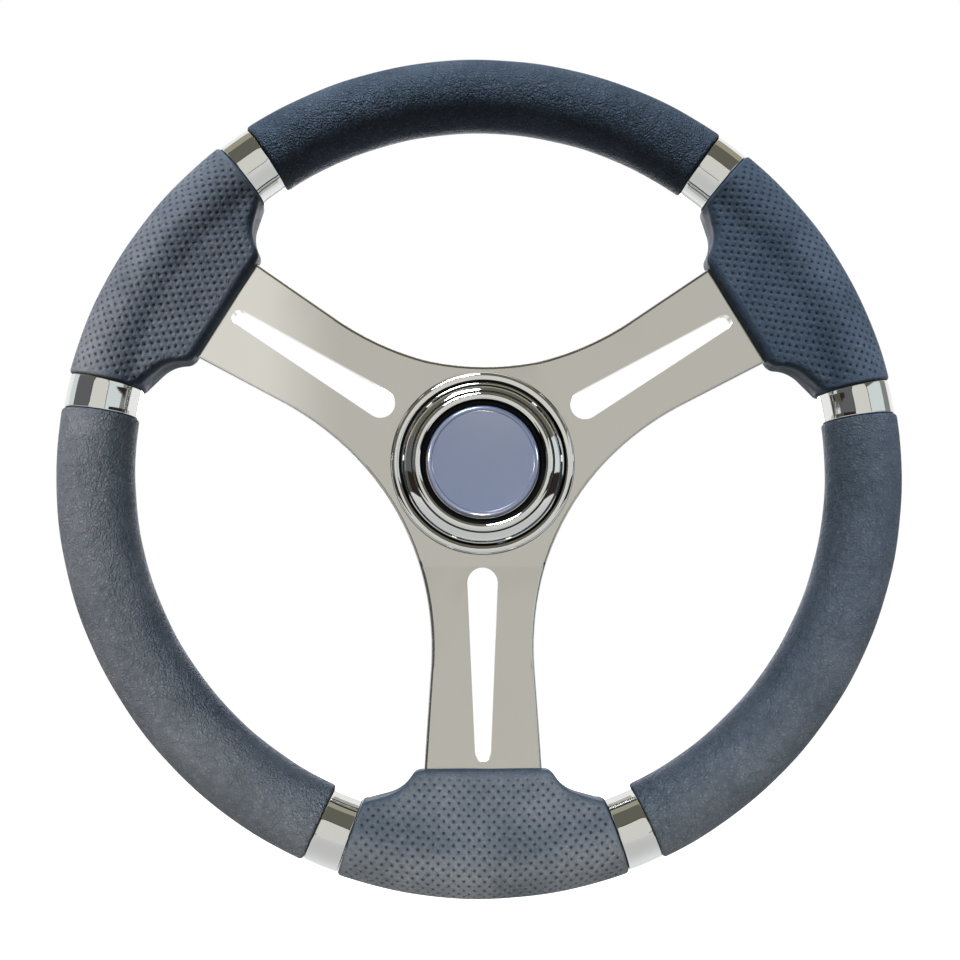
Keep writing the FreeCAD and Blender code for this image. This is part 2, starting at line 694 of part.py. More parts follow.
def bezel_screw(number, direction):
    """A cap screw with a hexagon socket, from the plate's back into the bezel."""
    body = new_body(f"bezel_screw_{number}")
    section = new_sketch(body, f"screw_section_{number}")
    head = f"({PLATE_BACK} + screw_head_height)"
    draw_outline(section, [
        ("0", above_plate("screw_reach")),
        ("0", head),
        ("screw_head_diameter / 2 - screw_head_height / 2", head, ("right", "screw_head_height / 2")),
        ("screw_head_diameter / 2", f"{head} - screw_head_height / 2"),
        ("screw_head_diameter / 2", PLATE_BACK),
        ("screw_diameter / 2", PLATE_BACK),
        ("screw_diameter / 2", above_plate("screw_reach")),
    ])
    revolve(body, section, f"screw_turning_{number}")
    socket = new_sketch(body, f"screw_socket_outline_{number}", "XZ_Plane", f"0 - {head}")
    corner = "(screw_hex_width / 2 / cos(30 deg))"
    turns = [f"({60 * index} deg)" for index in range(6)]
    draw_outline(socket, [(f"{corner} * cos{angle}", f"{corner} * sin{angle}") for angle in turns])
    pocket(body, socket, f"screw_socket_{number}", "screw_hex_depth")
    place = {
        "Placement.Base.x": f"{SCREW_PLACE} * cos({direction} * 1 deg)",
        "Placement.Base.z": f"{SCREW_PLACE} * sin({direction} * 1 deg)",
    }
    bind(body, **place)
    return body


def bezel_screws():
    """The three screws that hold the bezel, as one group."""
    group = doc.addObject("Part::Compound", "bezel_screws")
    group.Label = "bezel_screws"
    group.Links = [bezel_screw(number, way) for number, way in enumerate(SPOKE_WAYS.values(), start=1)]
    return group


# The whole wheel


def build_wheel():
    """Builds every piece and gives them in a list."""
    plate = spoke_plate()
    pieces = [plate, rim_rod(), hub_boss(), hub_bezel(), bezel_screws(), cap_seal(), centre_cap()]
    for name, direction in SPOKE_WAYS.items():
        pieces.append(spoke_pad(f"spoke_pad_{name}", direction, plate))
    for name, direction in GRIP_WAYS.items():
        pieces.append(plain_grip(f"rim_grip_{name}", direction))
    for name, direction in SPOKE_WAYS.items():
        for end, sign in (("a", "+"), ("b", "-")):
            place = f"{direction} {sign} {COLLAR_PLACE}"
            for side in ("front", "back"):
                pieces.append(collar_half(f"collar_{name}_{end}_{side}", place, side))
    return pieces


def check(pieces):
    """Stops with a message if any object failed, or if a piece has no sound shape."""
    failed = [item.Name for item in doc.Objects if {"Invalid", "Error"} & set(item.State)]
    if failed:
        raise RuntimeError(f"These did not recompute: {failed}")
    for piece in pieces:
        if piece.Shape.isNull() or not piece.Shape.isValid() or not piece.Shape.Solids:
            raise RuntimeError(f"{piece.Label} has no sound shape")


wheel = build_wheel()
doc.recompute()
check(wheel)
os.makedirs("parts", exist_ok=True)
for piece in wheel:
    piece.Shape.exportStep(f"parts/{piece.Label}.step")
    print(f"{piece.Label}: {len(piece.Shape.Solids)} solid, {piece.Shape.Volume:.0f} cubic mm")
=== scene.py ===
# %% [markdown]
# # A boat steering wheel, dressed for its portrait
#
# The wheel has three spokes cut from one polished steel plate, a leather rim in six lengths, chromed
# collars between the lengths, and a turned hub with a satin cap. The frame that is loaded here
# already has every piece in its place. This script gives the pieces the surfaces and finishes that
# the eye looks for: grain and holes in the leather, mirror bands in the chrome, and a cloudy polish
# on the plate.
#
# The wheel and the camera are worked out in millimetres and stored in metres. The studio's floor,
# cards and lamps are given in metres. +Y points back along the shaft, the driver is on the -Y side,
# and +Z is up.

# %% Load the frame
import math

import bmesh
import bpy
import numpy as np
from mathutils import Matrix, Vector


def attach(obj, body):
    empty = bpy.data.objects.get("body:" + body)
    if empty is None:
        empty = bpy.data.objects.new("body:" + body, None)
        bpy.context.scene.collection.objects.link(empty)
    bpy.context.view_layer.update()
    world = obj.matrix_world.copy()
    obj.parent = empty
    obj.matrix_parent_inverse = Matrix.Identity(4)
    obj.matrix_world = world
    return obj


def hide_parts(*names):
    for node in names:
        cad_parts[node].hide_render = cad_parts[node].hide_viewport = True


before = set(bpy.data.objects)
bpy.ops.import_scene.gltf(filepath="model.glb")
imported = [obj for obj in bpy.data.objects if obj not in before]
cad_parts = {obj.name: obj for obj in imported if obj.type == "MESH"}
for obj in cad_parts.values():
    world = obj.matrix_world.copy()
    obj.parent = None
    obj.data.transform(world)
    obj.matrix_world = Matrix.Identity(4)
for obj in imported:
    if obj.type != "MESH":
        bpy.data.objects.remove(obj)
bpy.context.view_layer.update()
MM = 0.001

# %% [markdown]
# ## The camera
#
# The portrait was taken from straight in front and from close by, a little below the middle of the
# wheel. A near camera makes the hub, which lies deeper than the rim, look small, so the distance
# matters as much as the direction. The camera's three directions are written out as a matrix,
# because that leaves no doubt about its roll. The lens follows from how many pixels the focal length
# takes up on a picture 960 pixels wide.

# %% Camera
PICTURE_PIXELS = 960
FOCAL_PIXELS = 811.6
SENSOR_WIDTH = 36.0
CAMERA_PLACE = (-10.1, -399.0, -48.5)
CAMERA_FORWARD = (0.0249, 0.9931, 0.1143)
CAMERA_UP = (-0.0050, -0.1142, 0.9935)

camera_data = bpy.data.cameras.new("portrait_camera")
camera = bpy.data.objects.new("portrait_camera", camera_data)
bpy.context.scene.collection.objects.link(camera)
camera_data.sensor_width = SENSOR_WIDTH
camera_data.lens = FOCAL_PIXELS / PICTURE_PIXELS * SENSOR_WIDTH
forward = Vector(CAMERA_FORWARD).normalized()
upward = Vector(CAMERA_UP)
rightward = forward.cross(upward).normalized()
upward = rightward.cross(forward)
facing = Matrix((rightward, upward, -forward)).transposed().to_4x4()
camera.matrix_world = Matrix.Translation(Vector(CAMERA_PLACE) * MM) @ facing
bpy.context.scene.camera = camera
print("lens", round(camera_data.lens, 1), "mm on a sensor", SENSOR_WIDTH, "mm wide")

# %% [markdown]
# ## Small tools
#
# Four helpers serve the rest of the lesson. The first turns a colour as it is written on a screen,
# an sRGB hex value, into the linear values that light is computed with. The second adds one node to
# a material, with its settings and its links. The third starts a material, and the fourth links a
# shader to its output.

# %% Tools for colours and nodes
SMOOTHLY = {"interpolation_type": "SMOOTHSTEP"}


def linear(hex_colour):
    """Each sRGB channel c becomes c / 12.92 if small, and ((c + 0.055) / 1.055) ** 2.4 if not."""
    channels = np.array([int(hex_colour[i:i + 2], 16) for i in (1, 3, 5)]) / 255
    light = np.where(channels <= 0.04045, channels / 12.92, ((channels + 0.055) / 1.055) ** 2.4)
    return (*light.tolist(), 1.0)


def add(tree, kind, settings=None, inputs=None):
    """Adds a node. An input is a value, or an output socket that gets linked to it."""
    node = tree.nodes.new(kind)
    for name, value in (settings or {}).items():
        setattr(node, name, value)
    for socket, value in (inputs or {}).items():
        if isinstance(value, bpy.types.NodeSocket):
            tree.links.new(value, node.inputs[socket])
        else:
            node.inputs[socket].default_value = value
    return node


def new_material(name):
    """Starts an empty material, and gives it with its node tree."""
    material = bpy.data.materials.new(name)
    material.use_nodes = True
    material.node_tree.nodes.clear()
    return material, material.node_tree


def show(tree, shader):
    """Links a shader to the material's output."""
    add(tree, "ShaderNodeOutputMaterial", inputs={"Surface": shader.outputs[0]})


print("mid grey #808080 is", round(linear("#808080")[0], 3), "of full light")

# %% [markdown]
# ## The studio
#
# The picture behind the wheel is plain white. The world shows white to the camera and in
# reflections, while the light that it sheds on the wheel is dimmer, so that leather keeps its colour.
# The floor is matt white paint that also glows, but only for the camera and, less, for mirrors. So
# it looks white, and still goes grey in the wheel's shadow.

# %% World and floor
WORLD_LIGHT = 0.08
FLOOR_LEVEL = -0.52
FLOOR_REACH = 6.0
FLOOR_PAINT = "#d9d9d6"
FLOOR_GLOW = (0.72, 1.0)
FLOOR_GLOW_REACH = (0.6, 1.8)
FLOOR_IN_MIRRORS = 0.7

world = bpy.data.worlds.new("studio_world")
bpy.context.scene.world = world
world.use_nodes = True
world.node_tree.nodes.clear()
tree = world.node_tree


def by_ray(tree, camera_value, mirror_value, other_value):
    """One value for rays from the camera, one for those from a mirror or glass, one for the rest."""
    path = add(tree, "ShaderNodeLightPath")
    mirror = add(tree, "ShaderNodeMath", {"operation": "MAXIMUM"},
                 {0: path.outputs["Is Glossy Ray"], 1: path.outputs["Is Transmission Ray"]})
    other = add(tree, "ShaderNodeMapRange",
                inputs={"Value": mirror.outputs[0], "To Min": other_value, "To Max": mirror_value})
    seen = add(tree, "ShaderNodeMapRange", inputs={
        "Value": path.outputs["Is Camera Ray"], "To Min": other.outputs[0], "To Max": camera_value})
    return seen.outputs[0]


background = add(tree, "ShaderNodeBackground",
                 inputs={"Color": (1, 1, 1, 1), "Strength": by_ray(tree, 1.0, 1.0, WORLD_LIGHT)})
add(tree, "ShaderNodeOutputWorld", inputs={"Surface": background.outputs[0]})


def stage_surface(name, points, material):
    """Makes a floor or a card from a grid of points in metres."""
    rows, columns = points.shape[:2]
    r, c = np.meshgrid(np.arange(rows - 1), np.arange(columns - 1), indexing="ij")
    first = (r * columns + c).ravel()
    quads = np.stack([first, first + 1, first + columns + 1, first + columns], axis=-1)
    mesh = bpy.data.meshes.new(name)
    mesh.from_pydata(points.reshape(-1, 3), [], quads.tolist())
    mesh.materials.append(material)
    surface = bpy.data.objects.new(name, mesh)
    bpy.context.scene.collection.objects.link(surface)
    return surface


floor_paint, tree = new_material("matt_white_floor_paint")
paint = add(tree, "ShaderNodeBsdfDiffuse", inputs={"Color": linear(FLOOR_PAINT)})
place = add(tree, "ShaderNodeTexCoord").outputs["Object"]
far = add(tree, "ShaderNodeVectorMath", {"operation": "LENGTH"}, {0: place})
glow_level = add(tree, "ShaderNodeMapRange", SMOOTHLY, {
    "Value": far.outputs["Value"], "From Min": FLOOR_GLOW_REACH[0], "From Max": FLOOR_GLOW_REACH[1],
    "To Min": FLOOR_GLOW[0], "To Max": FLOOR_GLOW[1]})
glow_seen = add(tree, "ShaderNodeMath", {"operation": "MULTIPLY"},
                {0: glow_level.outputs[0], 1: by_ray(tree, 1.0, FLOOR_IN_MIRRORS, 0.0)})
glow = add(tree, "ShaderNodeEmission",
           inputs={"Color": (1, 1, 1, 1), "Strength": glow_seen.outputs[0]})
show(tree, add(tree, "ShaderNodeAddShader", inputs={0: paint.outputs[0], 1: glow.outputs[0]}))
across, along = np.meshgrid([-FLOOR_REACH, FLOOR_REACH], [-FLOOR_REACH, FLOOR_REACH])
floor = np.stack([across, along, np.full_like(across, FLOOR_LEVEL)], axis=-1)
stage_surface("studio_floor", floor, floor_paint)
print("the floor lies", round(-FLOOR_LEVEL, 2), "m below the hub")

# %% [markdown]
# ## What the metal mirrors
#
# Chrome and polished steel have hardly any colour of their own: they show the room. A photographer
# therefore builds the room round them from cards. Here each card is a patch of a sphere round the
# wheel, from straight in front to a little behind it. It is given by two angles: the polar angle from
# the driver's side, and the turn from +X towards +Z. Most cards in front, low down and to the upper
# right are pale, those above and to the upper left are grey, and those low on both sides dark. A thin
# dark ring runs round the front card. Together they draw the bands and lines on the collars. The
# front card stays one colour all round, because the flat plate mirrors a small part of it and would
# show any edge. The cards are only there to be mirrored: the camera doesn't see them, and they light
# nothing that is matt.

# %% Cards
CARD_STEPS = (13, 25)


def card(name, polar, turn, distance, hex_colour):
    """A patch of a sphere: x = d sin p cos t, y = -d cos p, z = d sin p sin t."""
    material, tree = new_material(name + "_paint")
    show(tree, add(tree, "ShaderNodeEmission", inputs={"Color": linear(hex_colour), "Strength": 1.0}))
    p = np.radians(np.linspace(*polar, CARD_STEPS[0]))[:, None]
    t = np.radians(np.linspace(*turn, CARD_STEPS[1]))[None, :]
    direction = np.stack([np.sin(p) * np.cos(t), -np.cos(p) + 0 * t, np.sin(p) * np.sin(t)], axis=-1)
    surface = stage_surface(name, distance * direction, material)
    surface.visible_camera = False
    surface.visible_shadow = False
    surface.visible_diffuse = False


CARDS = {  # the name, then two polar angles, two turns, the distance in metres and the colour
    "front": ((0, 24), (0, 360), 1.7, "#e2e1dc"),
    "low": ((24, 98), (207, 333), 1.9, "#dfe5e6"),
    "upper": ((24, 70), (27, 153), 1.9, "#6a685e"),
    "high": ((70, 98), (27, 153), 1.9, "#a8a392"),
    "left_grey": ((24, 75), (153, 180), 1.9, "#66666a"),
    "left_pale": ((75, 98), (153, 180), 1.9, "#dfe8ea"),
    "left_dark": ((24, 65), (180, 207), 1.9, "#2e2826"),
    "left_olive": ((65, 98), (180, 207), 1.9, "#5a584c"),
    "right_white": ((24, 37), (333, 360), 1.9, "#e8eeee"),
    "right_dark": ((37, 83), (333, 360), 1.9, "#322a28"),
    "right_low_grey": ((83, 98), (333, 360), 1.9, "#4a504c"),
    "right_pale": ((24, 72), (0, 27), 1.9, "#dfe8ea"),
    "right_grey": ((72, 98), (0, 27), 1.9, "#8a8c8c"),
    "dark_ring": ((24.0, 25.5), (0, 360), 1.6, "#161413"),
}
for name, patch in CARDS.items():
    card(name + "_card", *patch)
print(len(CARDS), "cards round the wheel")

# %% [markdown]
# Small softboxes with grids light the leather. A grid keeps the light of a lamp together, so the low,
# left and right lamps each have their own part of the wheel. The bottom and the left get warm light.
# The right gets less, and cooler. The top lamp stands high and draws a light line along the rim's
# upper side. A large lamp behind the wheel lights its back.

# %% Soft lamps
def soft_lamp(name, place, aim, size, spread, power, hex_colour):
    """A square lamp at a place, turned to its aim. The spread is the grid's opening, in degrees."""
    data = bpy.data.lights.new(name, "AREA")
    data.shape = "SQUARE"
    data.size = size
    data.spread = math.radians(spread)
    data.energy = power
    data.color = linear(hex_colour)[:3]
    lamp = bpy.data.objects.new(name, data)
    lamp.location = place
    lamp.rotation_euler = (Vector(aim) - lamp.location).to_track_quat("-Z", "Y").to_euler()
    lamp.visible_camera = False
    bpy.context.scene.collection.objects.link(lamp)
    return lamp


LAMPS = {  # the name, then place, aim and size in metres, spread, power in watts and colour
    "low_lamp": ((0.0, -0.85, -0.38), (-0.02, -0.07, -0.16), 0.15, 44, 0.86, "#ffe8ce"),
    "left_lamp": ((-0.70, -0.62, 0.20), (-0.17, -0.07, 0.03), 0.12, 32, 0.58, "#ffe2cc"),
    "right_lamp": ((0.72, -0.60, 0.22), (0.16, -0.07, 0.02), 0.15, 34, 0.23, "#e6eefa"),
    "top_lamp": ((-0.18, -0.55, 0.74), (-0.02, -0.06, 0.15), 0.3, 50, 1.30, "#dce8f2"),
    "back_lamp": ((0.0, 1.6, 0.35), (0.0, 0.0, 0.0), 0.8, 180, 15.0, "#f4f6ff"),
}
lamps = {name: soft_lamp(name, *facts) for name, facts in LAMPS.items()}
print(len(lamps), "lamps")

# %% [markdown]
# ## Surfaces from numbers
#
# Every new piece is a surface with two parameters: a grid of points, worked out as one array.
# Neighbouring points make the faces. Where the grid meets itself, as at the seam of a tube or the
# middle of a cap, its edge points coincide, and merging them closes the surface. The signed volume
# tells whether the faces point out: if it comes out negative, the order of the corners is turned
# round.

# %% From a grid to a mesh
WELD = 1e-7


def outward_faces(points):
    """Corner numbers of each face, in the order that makes the volume positive.

    The signed volume is a sixth of the sum of a . (b x c) over all triangles.
    """
    rows, columns = points.shape[:2]
    r, c = np.meshgrid(np.arange(rows - 1), np.arange(columns - 1), indexing="ij")
    first = r * columns + c
    quads = np.stack([first, first + columns, first + columns + 1, first + 1], axis=-1).reshape(-1, 4)
    p = points.reshape(-1, 3)
    a, b, c, d = (p[quads[:, k]] for k in range(4))
    volume = (a * np.cross(b, c)).sum() + (a * np.cross(c, d)).sum()
    return quads if volume > 0 else quads[:, ::-1]


def new_piece(name, points, material, body, replaced, sharp=None, maps=None):
    """Makes an object from a grid of points in millimetres, hangs it under its body and hides the
    frame's pieces that it replaces.

    Each UV map in `maps` is a grid of pairs, one for each point.
    """
    quads = outward_faces(points)
    mesh = bpy.data.meshes.new(name)
    mesh.vertices.add(points.shape[0] * points.shape[1])
    mesh.vertices.foreach_set("co", (points * MM).astype(np.float32).ravel())
    mesh.loops.add(quads.size)
    mesh.loops.foreach_set("vertex_index", quads.astype(np.int32).ravel())
    mesh.polygons.add(len(quads))
    mesh.polygons.foreach_set("loop_start", np.arange(0, quads.size, 4, dtype=np.int32))
    mesh.polygons.foreach_set("loop_total", np.full(len(quads), 4, dtype=np.int32))
    mesh.update(calc_edges=True)
    for map_name, pairs in (maps or {}).items():
        layer = mesh.uv_layers.new(name=map_name)
        layer.data.foreach_set("uv", pairs.reshape(-1, 2)[quads].astype(np.float32).ravel())
    work = bmesh.new()
    work.from_mesh(mesh)
    bmesh.ops.remove_doubles(work, verts=work.verts, dist=WELD)
    work.to_mesh(mesh)
    work.free()
    mesh.shade_smooth()
    if sharp:
        mesh.set_sharp_from_angle(angle=math.radians(sharp))
    mesh.materials.append(material)
    piece = bpy.data.objects.new(name, mesh)
    bpy.context.scene.collection.objects.link(piece)
    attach(piece, body)
    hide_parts(*replaced)
    return piece


print("ready to make surfaces")

# %% [markdown]
# ## Places on the rim
#
# The rim is a ring. A place on it needs three numbers: the turn round the wheel, in degrees from +X
# towards +Z, the turn round the rim's own core line, and the distance from that line. The same sizes
# as in the frame's construction are used, so each new surface lies where the solid is.

# %% The rim's sizes and the map from ring to space
RIM_RADIUS = 160.25
RIM_PLANE = -62.5
GRIP_RADIUS = 14.75
ROD_RADIUS = 5.0
SPOKE_TURNS = {"right": 30, "left": 150, "bottom": 270}
GRIP_TURNS = {"top": 90, "lower_left": 210, "lower_right": 330}
PAD_LENGTH = 106.8
COLLAR_LENGTH = 13.0
SEAM = 0.25
PAD_HALF_TURN = math.degrees(PAD_LENGTH / 2 / RIM_RADIUS)
SEAM_TURN = math.degrees(SEAM / RIM_RADIUS)
COLLAR_TURN = math.degrees(COLLAR_LENGTH / RIM_RADIUS)
COLLAR_PLACE = PAD_HALF_TURN + SEAM_TURN + COLLAR_TURN / 2
GRIP_LENGTH = math.radians(120 - 2 * (COLLAR_PLACE + COLLAR_TURN / 2 + SEAM_TURN)) * RIM_RADIUS


def on_rim(turn, around, distance):
    """x and z are (R + d cos a) times cos and sin of the turn, y the rim's plane less d sin a.

    a = 0 points away from the hub, and a = 90 degrees towards the driver.
    """
    turn, around = np.radians(turn), np.radians(around)
    reach = RIM_RADIUS + distance * np.cos(around)
    depth = RIM_PLANE - distance * np.sin(around)
    return np.stack([reach * np.cos(turn), depth, reach * np.sin(turn)], axis=-1)


def corner(along, out, radius, steps=6):
    """A quarter circle from the end face of a sleeve, at `along`, to its outside, at `out`."""
    a = np.radians(np.linspace(0, 90, steps))
    return np.stack([along - radius * (1 - np.cos(a)), out - radius * (1 - np.sin(a))], axis=-1)


def sleeve_profile(length, outside, hole, rounding, steps):
    """A sleeve's closed section, as pairs (along, out): end faces, rounded ends, straight walls."""
    right = corner(length / 2, outside, rounding)
    left = right[::-1] * (-1, 1)
    along = np.linspace(length / 2 - rounding, -length / 2 + rounding, steps)[1:-1]
    wall = np.stack([along, np.full_like(along, outside)], axis=-1)
    inner = np.stack([np.linspace(-length / 2, length / 2, steps), np.full(steps, hole)], axis=-1)
    return np.concatenate([right, wall, left, inner, right[:1]])


print("a grip is", round(GRIP_LENGTH, 1), "mm long")

# %% [markdown]
# ## Leather
#
# The rim is wrapped in soft slate blue leather. Leather is a mat of fibres under a pigmented finish:
# its grain is a net of fine creases between small pebbles, and where it was pulled round the rim,
# longer creases branch across the pebbles. Its shine is broad and low. A Voronoi pattern gives each
# net, because its cell borders look like creases, and noise bends it so that no two pebbles are
# alike. A fine and a slow noise change the colour and the shine a little from place to place, as
# handling does. Real pebbles are under a millimetre across. They are drawn at 1.3 mm, or the picture
# could not show them.

# %% The grain of leather
LEATHER_DARK = "#3b4754"
LEATHER_LIGHT = "#55606e"
# Painted shade: a dark colour for the creases, and on the pads for the dimples and the wing's wall.
PAINTED_LEATHER_SHADE = "#10161d"
PEBBLE = 1.3
PEBBLE_BORDER = 0.32
LONG_CREASE = 5.5
LONG_CREASE_BORDER = 0.10
CREASE_PATCH = 18
MOTTLE = 2.0
HANDLING = 26
HANDLING_SHARE = 1.6
TINT_RANGE = (0.9, 1.7)
SHINE = (0.62, 0.54)


def scaled_noise(tree, coordinates, size, detail, **more):
    """Noise whose waves are about `size` millimetres long."""
    return add(tree, "ShaderNodeTexNoise", inputs={
        "Vector": coordinates, "Scale": 1 / (size * MM), "Detail": detail, **more})


def bent_net(tree, coordinates, cell, bend, width):
    """Borders of bent Voronoi cells: 0 on a border, and 1 further than width, in cells, from it."""
    noise = scaled_noise(tree, coordinates, cell * 1.4, 3)  # waves a little longer than a cell
    centred = add(tree, "ShaderNodeVectorMath", {"operation": "SUBTRACT"},
                  {0: noise.outputs["Color"], 1: (0.5, 0.5, 0.5)})
    bent = add(tree, "ShaderNodeVectorMath", {"operation": "MULTIPLY_ADD"},
               {0: centred.outputs[0], 1: (bend * MM,) * 3, 2: coordinates})
    net = add(tree, "ShaderNodeTexVoronoi", {"feature": "DISTANCE_TO_EDGE"},
              {"Vector": bent.outputs[0], "Scale": 1 / (cell * MM), "Randomness": 1.0})
    return add(tree, "ShaderNodeMapRange", SMOOTHLY,
               {"Value": net.outputs["Distance"], "From Min": 0.0, "From Max": width}).outputs[0]


def leather_base(tree, coordinates, crease_depth, crease_shade):
    """The height of the grain, the tint as a noise, and the colour: darker in the creases, as painted
    shade.
    """
    pebbles = bent_net(tree, coordinates, PEBBLE, PEBBLE * 1.3, PEBBLE_BORDER)
    long_creases = bent_net(tree, coordinates, LONG_CREASE, LONG_CREASE * 1.5, LONG_CREASE_BORDER)
    patches = scaled_noise(tree, coordinates, CREASE_PATCH, 2).outputs["Fac"]
    strong = add(tree, "ShaderNodeMapRange", SMOOTHLY,
                 {"Value": patches, "From Min": 0.38, "From Max": 0.62,
                  "To Min": 0.5 * crease_depth, "To Max": crease_depth})
    height = add(tree, "ShaderNodeMath", {"operation": "MULTIPLY_ADD"},
                 {0: long_creases, 1: strong.outputs[0], 2: pebbles})
    both = add(tree, "ShaderNodeMath", {"operation": "MULTIPLY_ADD"},
               {0: scaled_noise(tree, coordinates, HANDLING, 3).outputs["Fac"], 1: HANDLING_SHARE,
                2: scaled_noise(tree, coordinates, MOTTLE, 3).outputs["Fac"]})
    tint = add(tree, "ShaderNodeMapRange", inputs={
        "Value": both.outputs[0], "From Min": TINT_RANGE[0], "From Max": TINT_RANGE[1]}).outputs[0]
    surface = add(tree, "ShaderNodeMix", {"data_type": "RGBA"},
                  {0: tint, 6: linear(LEATHER_DARK), 7: linear(LEATHER_LIGHT)})
    depth = add(tree, "ShaderNodeMath", {"operation": "MULTIPLY"}, {0: pebbles, 1: long_creases})
    # Painted shade: the colour goes towards the dark shade colour in the creases.
    out_of_crease_shade = add(tree, "ShaderNodeMapRange",
                  inputs={"Value": depth.outputs[0], "To Min": 1 - crease_shade, "To Max": 1.0})
    colour = add(tree, "ShaderNodeMix", {"data_type": "RGBA"},
                 {0: out_of_crease_shade.outputs[0], 6: linear(PAINTED_LEATHER_SHADE), 7: surface.outputs[2]})
    return height.outputs[0], tint, colour.outputs[2]


def leather_shader(tree, colour, height, shine, depth):
    """A soft shine, bumped by the height. A height of one stands for `depth` millimetres."""
    rough = add(tree, "ShaderNodeMapRange",
                inputs={"Value": shine, "To Min": SHINE[0], "To Max": SHINE[1]})
    bump = add(tree, "ShaderNodeBump",
               inputs={"Height": height, "Distance": depth * MM, "Strength": 1.0})
    return add(tree, "ShaderNodeBsdfPrincipled", inputs={
        "Base Color": colour, "Roughness": rough.outputs[0], "Specular IOR Level": 0.1,
        "Normal": bump.outputs[0]})


grained_leather, tree = new_material("grained_leather")
place = add(tree, "ShaderNodeTexCoord").outputs["Object"]
height, shine, colour = leather_base(tree, place, crease_depth=0.7, crease_shade=0.35)
show(tree, leather_shader(tree, colour, height, shine, depth=0.3))
print("grained leather with pebbles of", PEBBLE, "mm")

# %% [markdown]
# ## Perforated leather
#
# The pads over the spokes are clad in the same leather with rows of punched holes, staggered like
# bricks, so that the hand stays dry. The holes follow the sheet, not the room, so the pattern reads
# the pad's own UV map, which is laid out in millimetres of leather. Two rectangular lattices, one
# shifted by half a step, give the staggered rows: the distance to the nearer lattice point makes
# each hole, and each hole is painted dark as the shade inside it. Each hole lies in a shallow
# dimple, because the punch drags the foam down, and so the sheet looks quilted. The dimples are also
# painted a little darker, as painted shade. A little noise moves the holes, as a stretched sheet
# does. A second UV map says where the sheet is punched, because the holes stop short of its edges,
# and where it is turned over the wing's edge: there the wall gets painted shade.

# %% Perforated leather
HOLE_STEP = (3.9, 4.35)
HOLE_RADIUS = 0.2
HOLE_RIM = 0.5
HOLE_DEPTH = 4.0
DIMPLE_MIDDLE = 0.2
DIMPLE_RADIUS = 1.5
DIMPLE_DEPTH = 2.6
# Painted shade: the share by which the dimples are darkened in colour.
DIMPLE_SHADE = 0.15
WALL_SHADE = 0.8
# Painted shade: the dark colour inside each hole.
HOLE_PAINTED_SHADE = "#222a33"
STRETCH = 0.3
STRETCH_WAVE = 4.5


def hole_distance(tree, sheet, shift):
    """The distance in millimetres from the nearest point of a lattice with the steps HOLE_STEP."""
    cell = add(tree, "ShaderNodeVectorMath", {"operation": "MULTIPLY_ADD"},
               {0: sheet, 1: (1 / HOLE_STEP[0], 1 / HOLE_STEP[1], 0), 2: (shift, shift, 0)})
    part = add(tree, "ShaderNodeVectorMath", {"operation": "FRACTION"}, {0: cell.outputs[0]})
    centred = add(tree, "ShaderNodeVectorMath", {"operation": "SUBTRACT"},
                  {0: part.outputs[0], 1: (0.5, 0.5, 0)})
    scaled = add(tree, "ShaderNodeVectorMath", {"operation": "MULTIPLY"},
                 {0: centred.outputs[0], 1: (*HOLE_STEP, 0)})
    distance = add(tree, "ShaderNodeVectorMath", {"operation": "LENGTH"}, {0: scaled.outputs[0]})
    return distance.outputs["Value"]


perforated_leather, tree = new_material("perforated_leather")
place = add(tree, "ShaderNodeTexCoord").outputs["Object"]
sheet = add(tree, "ShaderNodeUVMap", {"uv_map": "leather_mm"}).outputs[0]
zones = add(tree, "ShaderNodeSeparateXYZ",
            inputs={0: add(tree, "ShaderNodeUVMap", {"uv_map": "punched_and_wall_shaded"}).outputs[0]})
punched = zones.outputs["X"]
stretch = add(tree, "ShaderNodeVectorMath", {"operation": "SUBTRACT"},
              {0: scaled_noise(tree, place, STRETCH_WAVE, 2).outputs["Color"], 1: (0.5, 0.5, 0.5)})
pulled = add(tree, "ShaderNodeVectorMath", {"operation": "MULTIPLY_ADD"},
             {0: stretch.outputs[0], 1: (2 * STRETCH, 2 * STRETCH, 0), 2: sheet})
height, shine, colour = leather_base(tree, place, crease_depth=0.5, crease_shade=0.15)
nearest = add(tree, "ShaderNodeMath", {"operation": "MINIMUM"},
              {0: hole_distance(tree, pulled.outputs[0], 0.0),
               1: hole_distance(tree, pulled.outputs[0], 0.5)})
hole = add(tree, "ShaderNodeMapRange", SMOOTHLY,
           {"Value": nearest.outputs[0], "From Min": HOLE_RADIUS, "From Max": HOLE_RADIUS + HOLE_RIM,
            "To Min": 1.0, "To Max": 0.0})
open_hole = add(tree, "ShaderNodeMath", {"operation": "MULTIPLY"}, {0: hole.outputs[0], 1: punched})
dimple = add(tree, "ShaderNodeMapRange", SMOOTHLY,
             {"Value": nearest.outputs[0], "From Min": DIMPLE_MIDDLE, "From Max": DIMPLE_RADIUS,
              "To Min": 1.0, "To Max": 0.0})
sunk = add(tree, "ShaderNodeMath", {"operation": "MULTIPLY"}, {0: dimple.outputs[0], 1: punched})
for mark, mark_depth in ((sunk, DIMPLE_DEPTH), (open_hole, HOLE_DEPTH)):
    height = add(tree, "ShaderNodeMath", {"operation": "MULTIPLY_ADD"},
                 {0: mark.outputs[0], 1: -mark_depth, 2: height}).outputs[0]
# Painted shade on the wall over the wing's edge, read from the second UV map.
painted_wall_shade = add(tree, "ShaderNodeMath", {"operation": "MULTIPLY"},
             {0: zones.outputs["Y"], 1: WALL_SHADE})
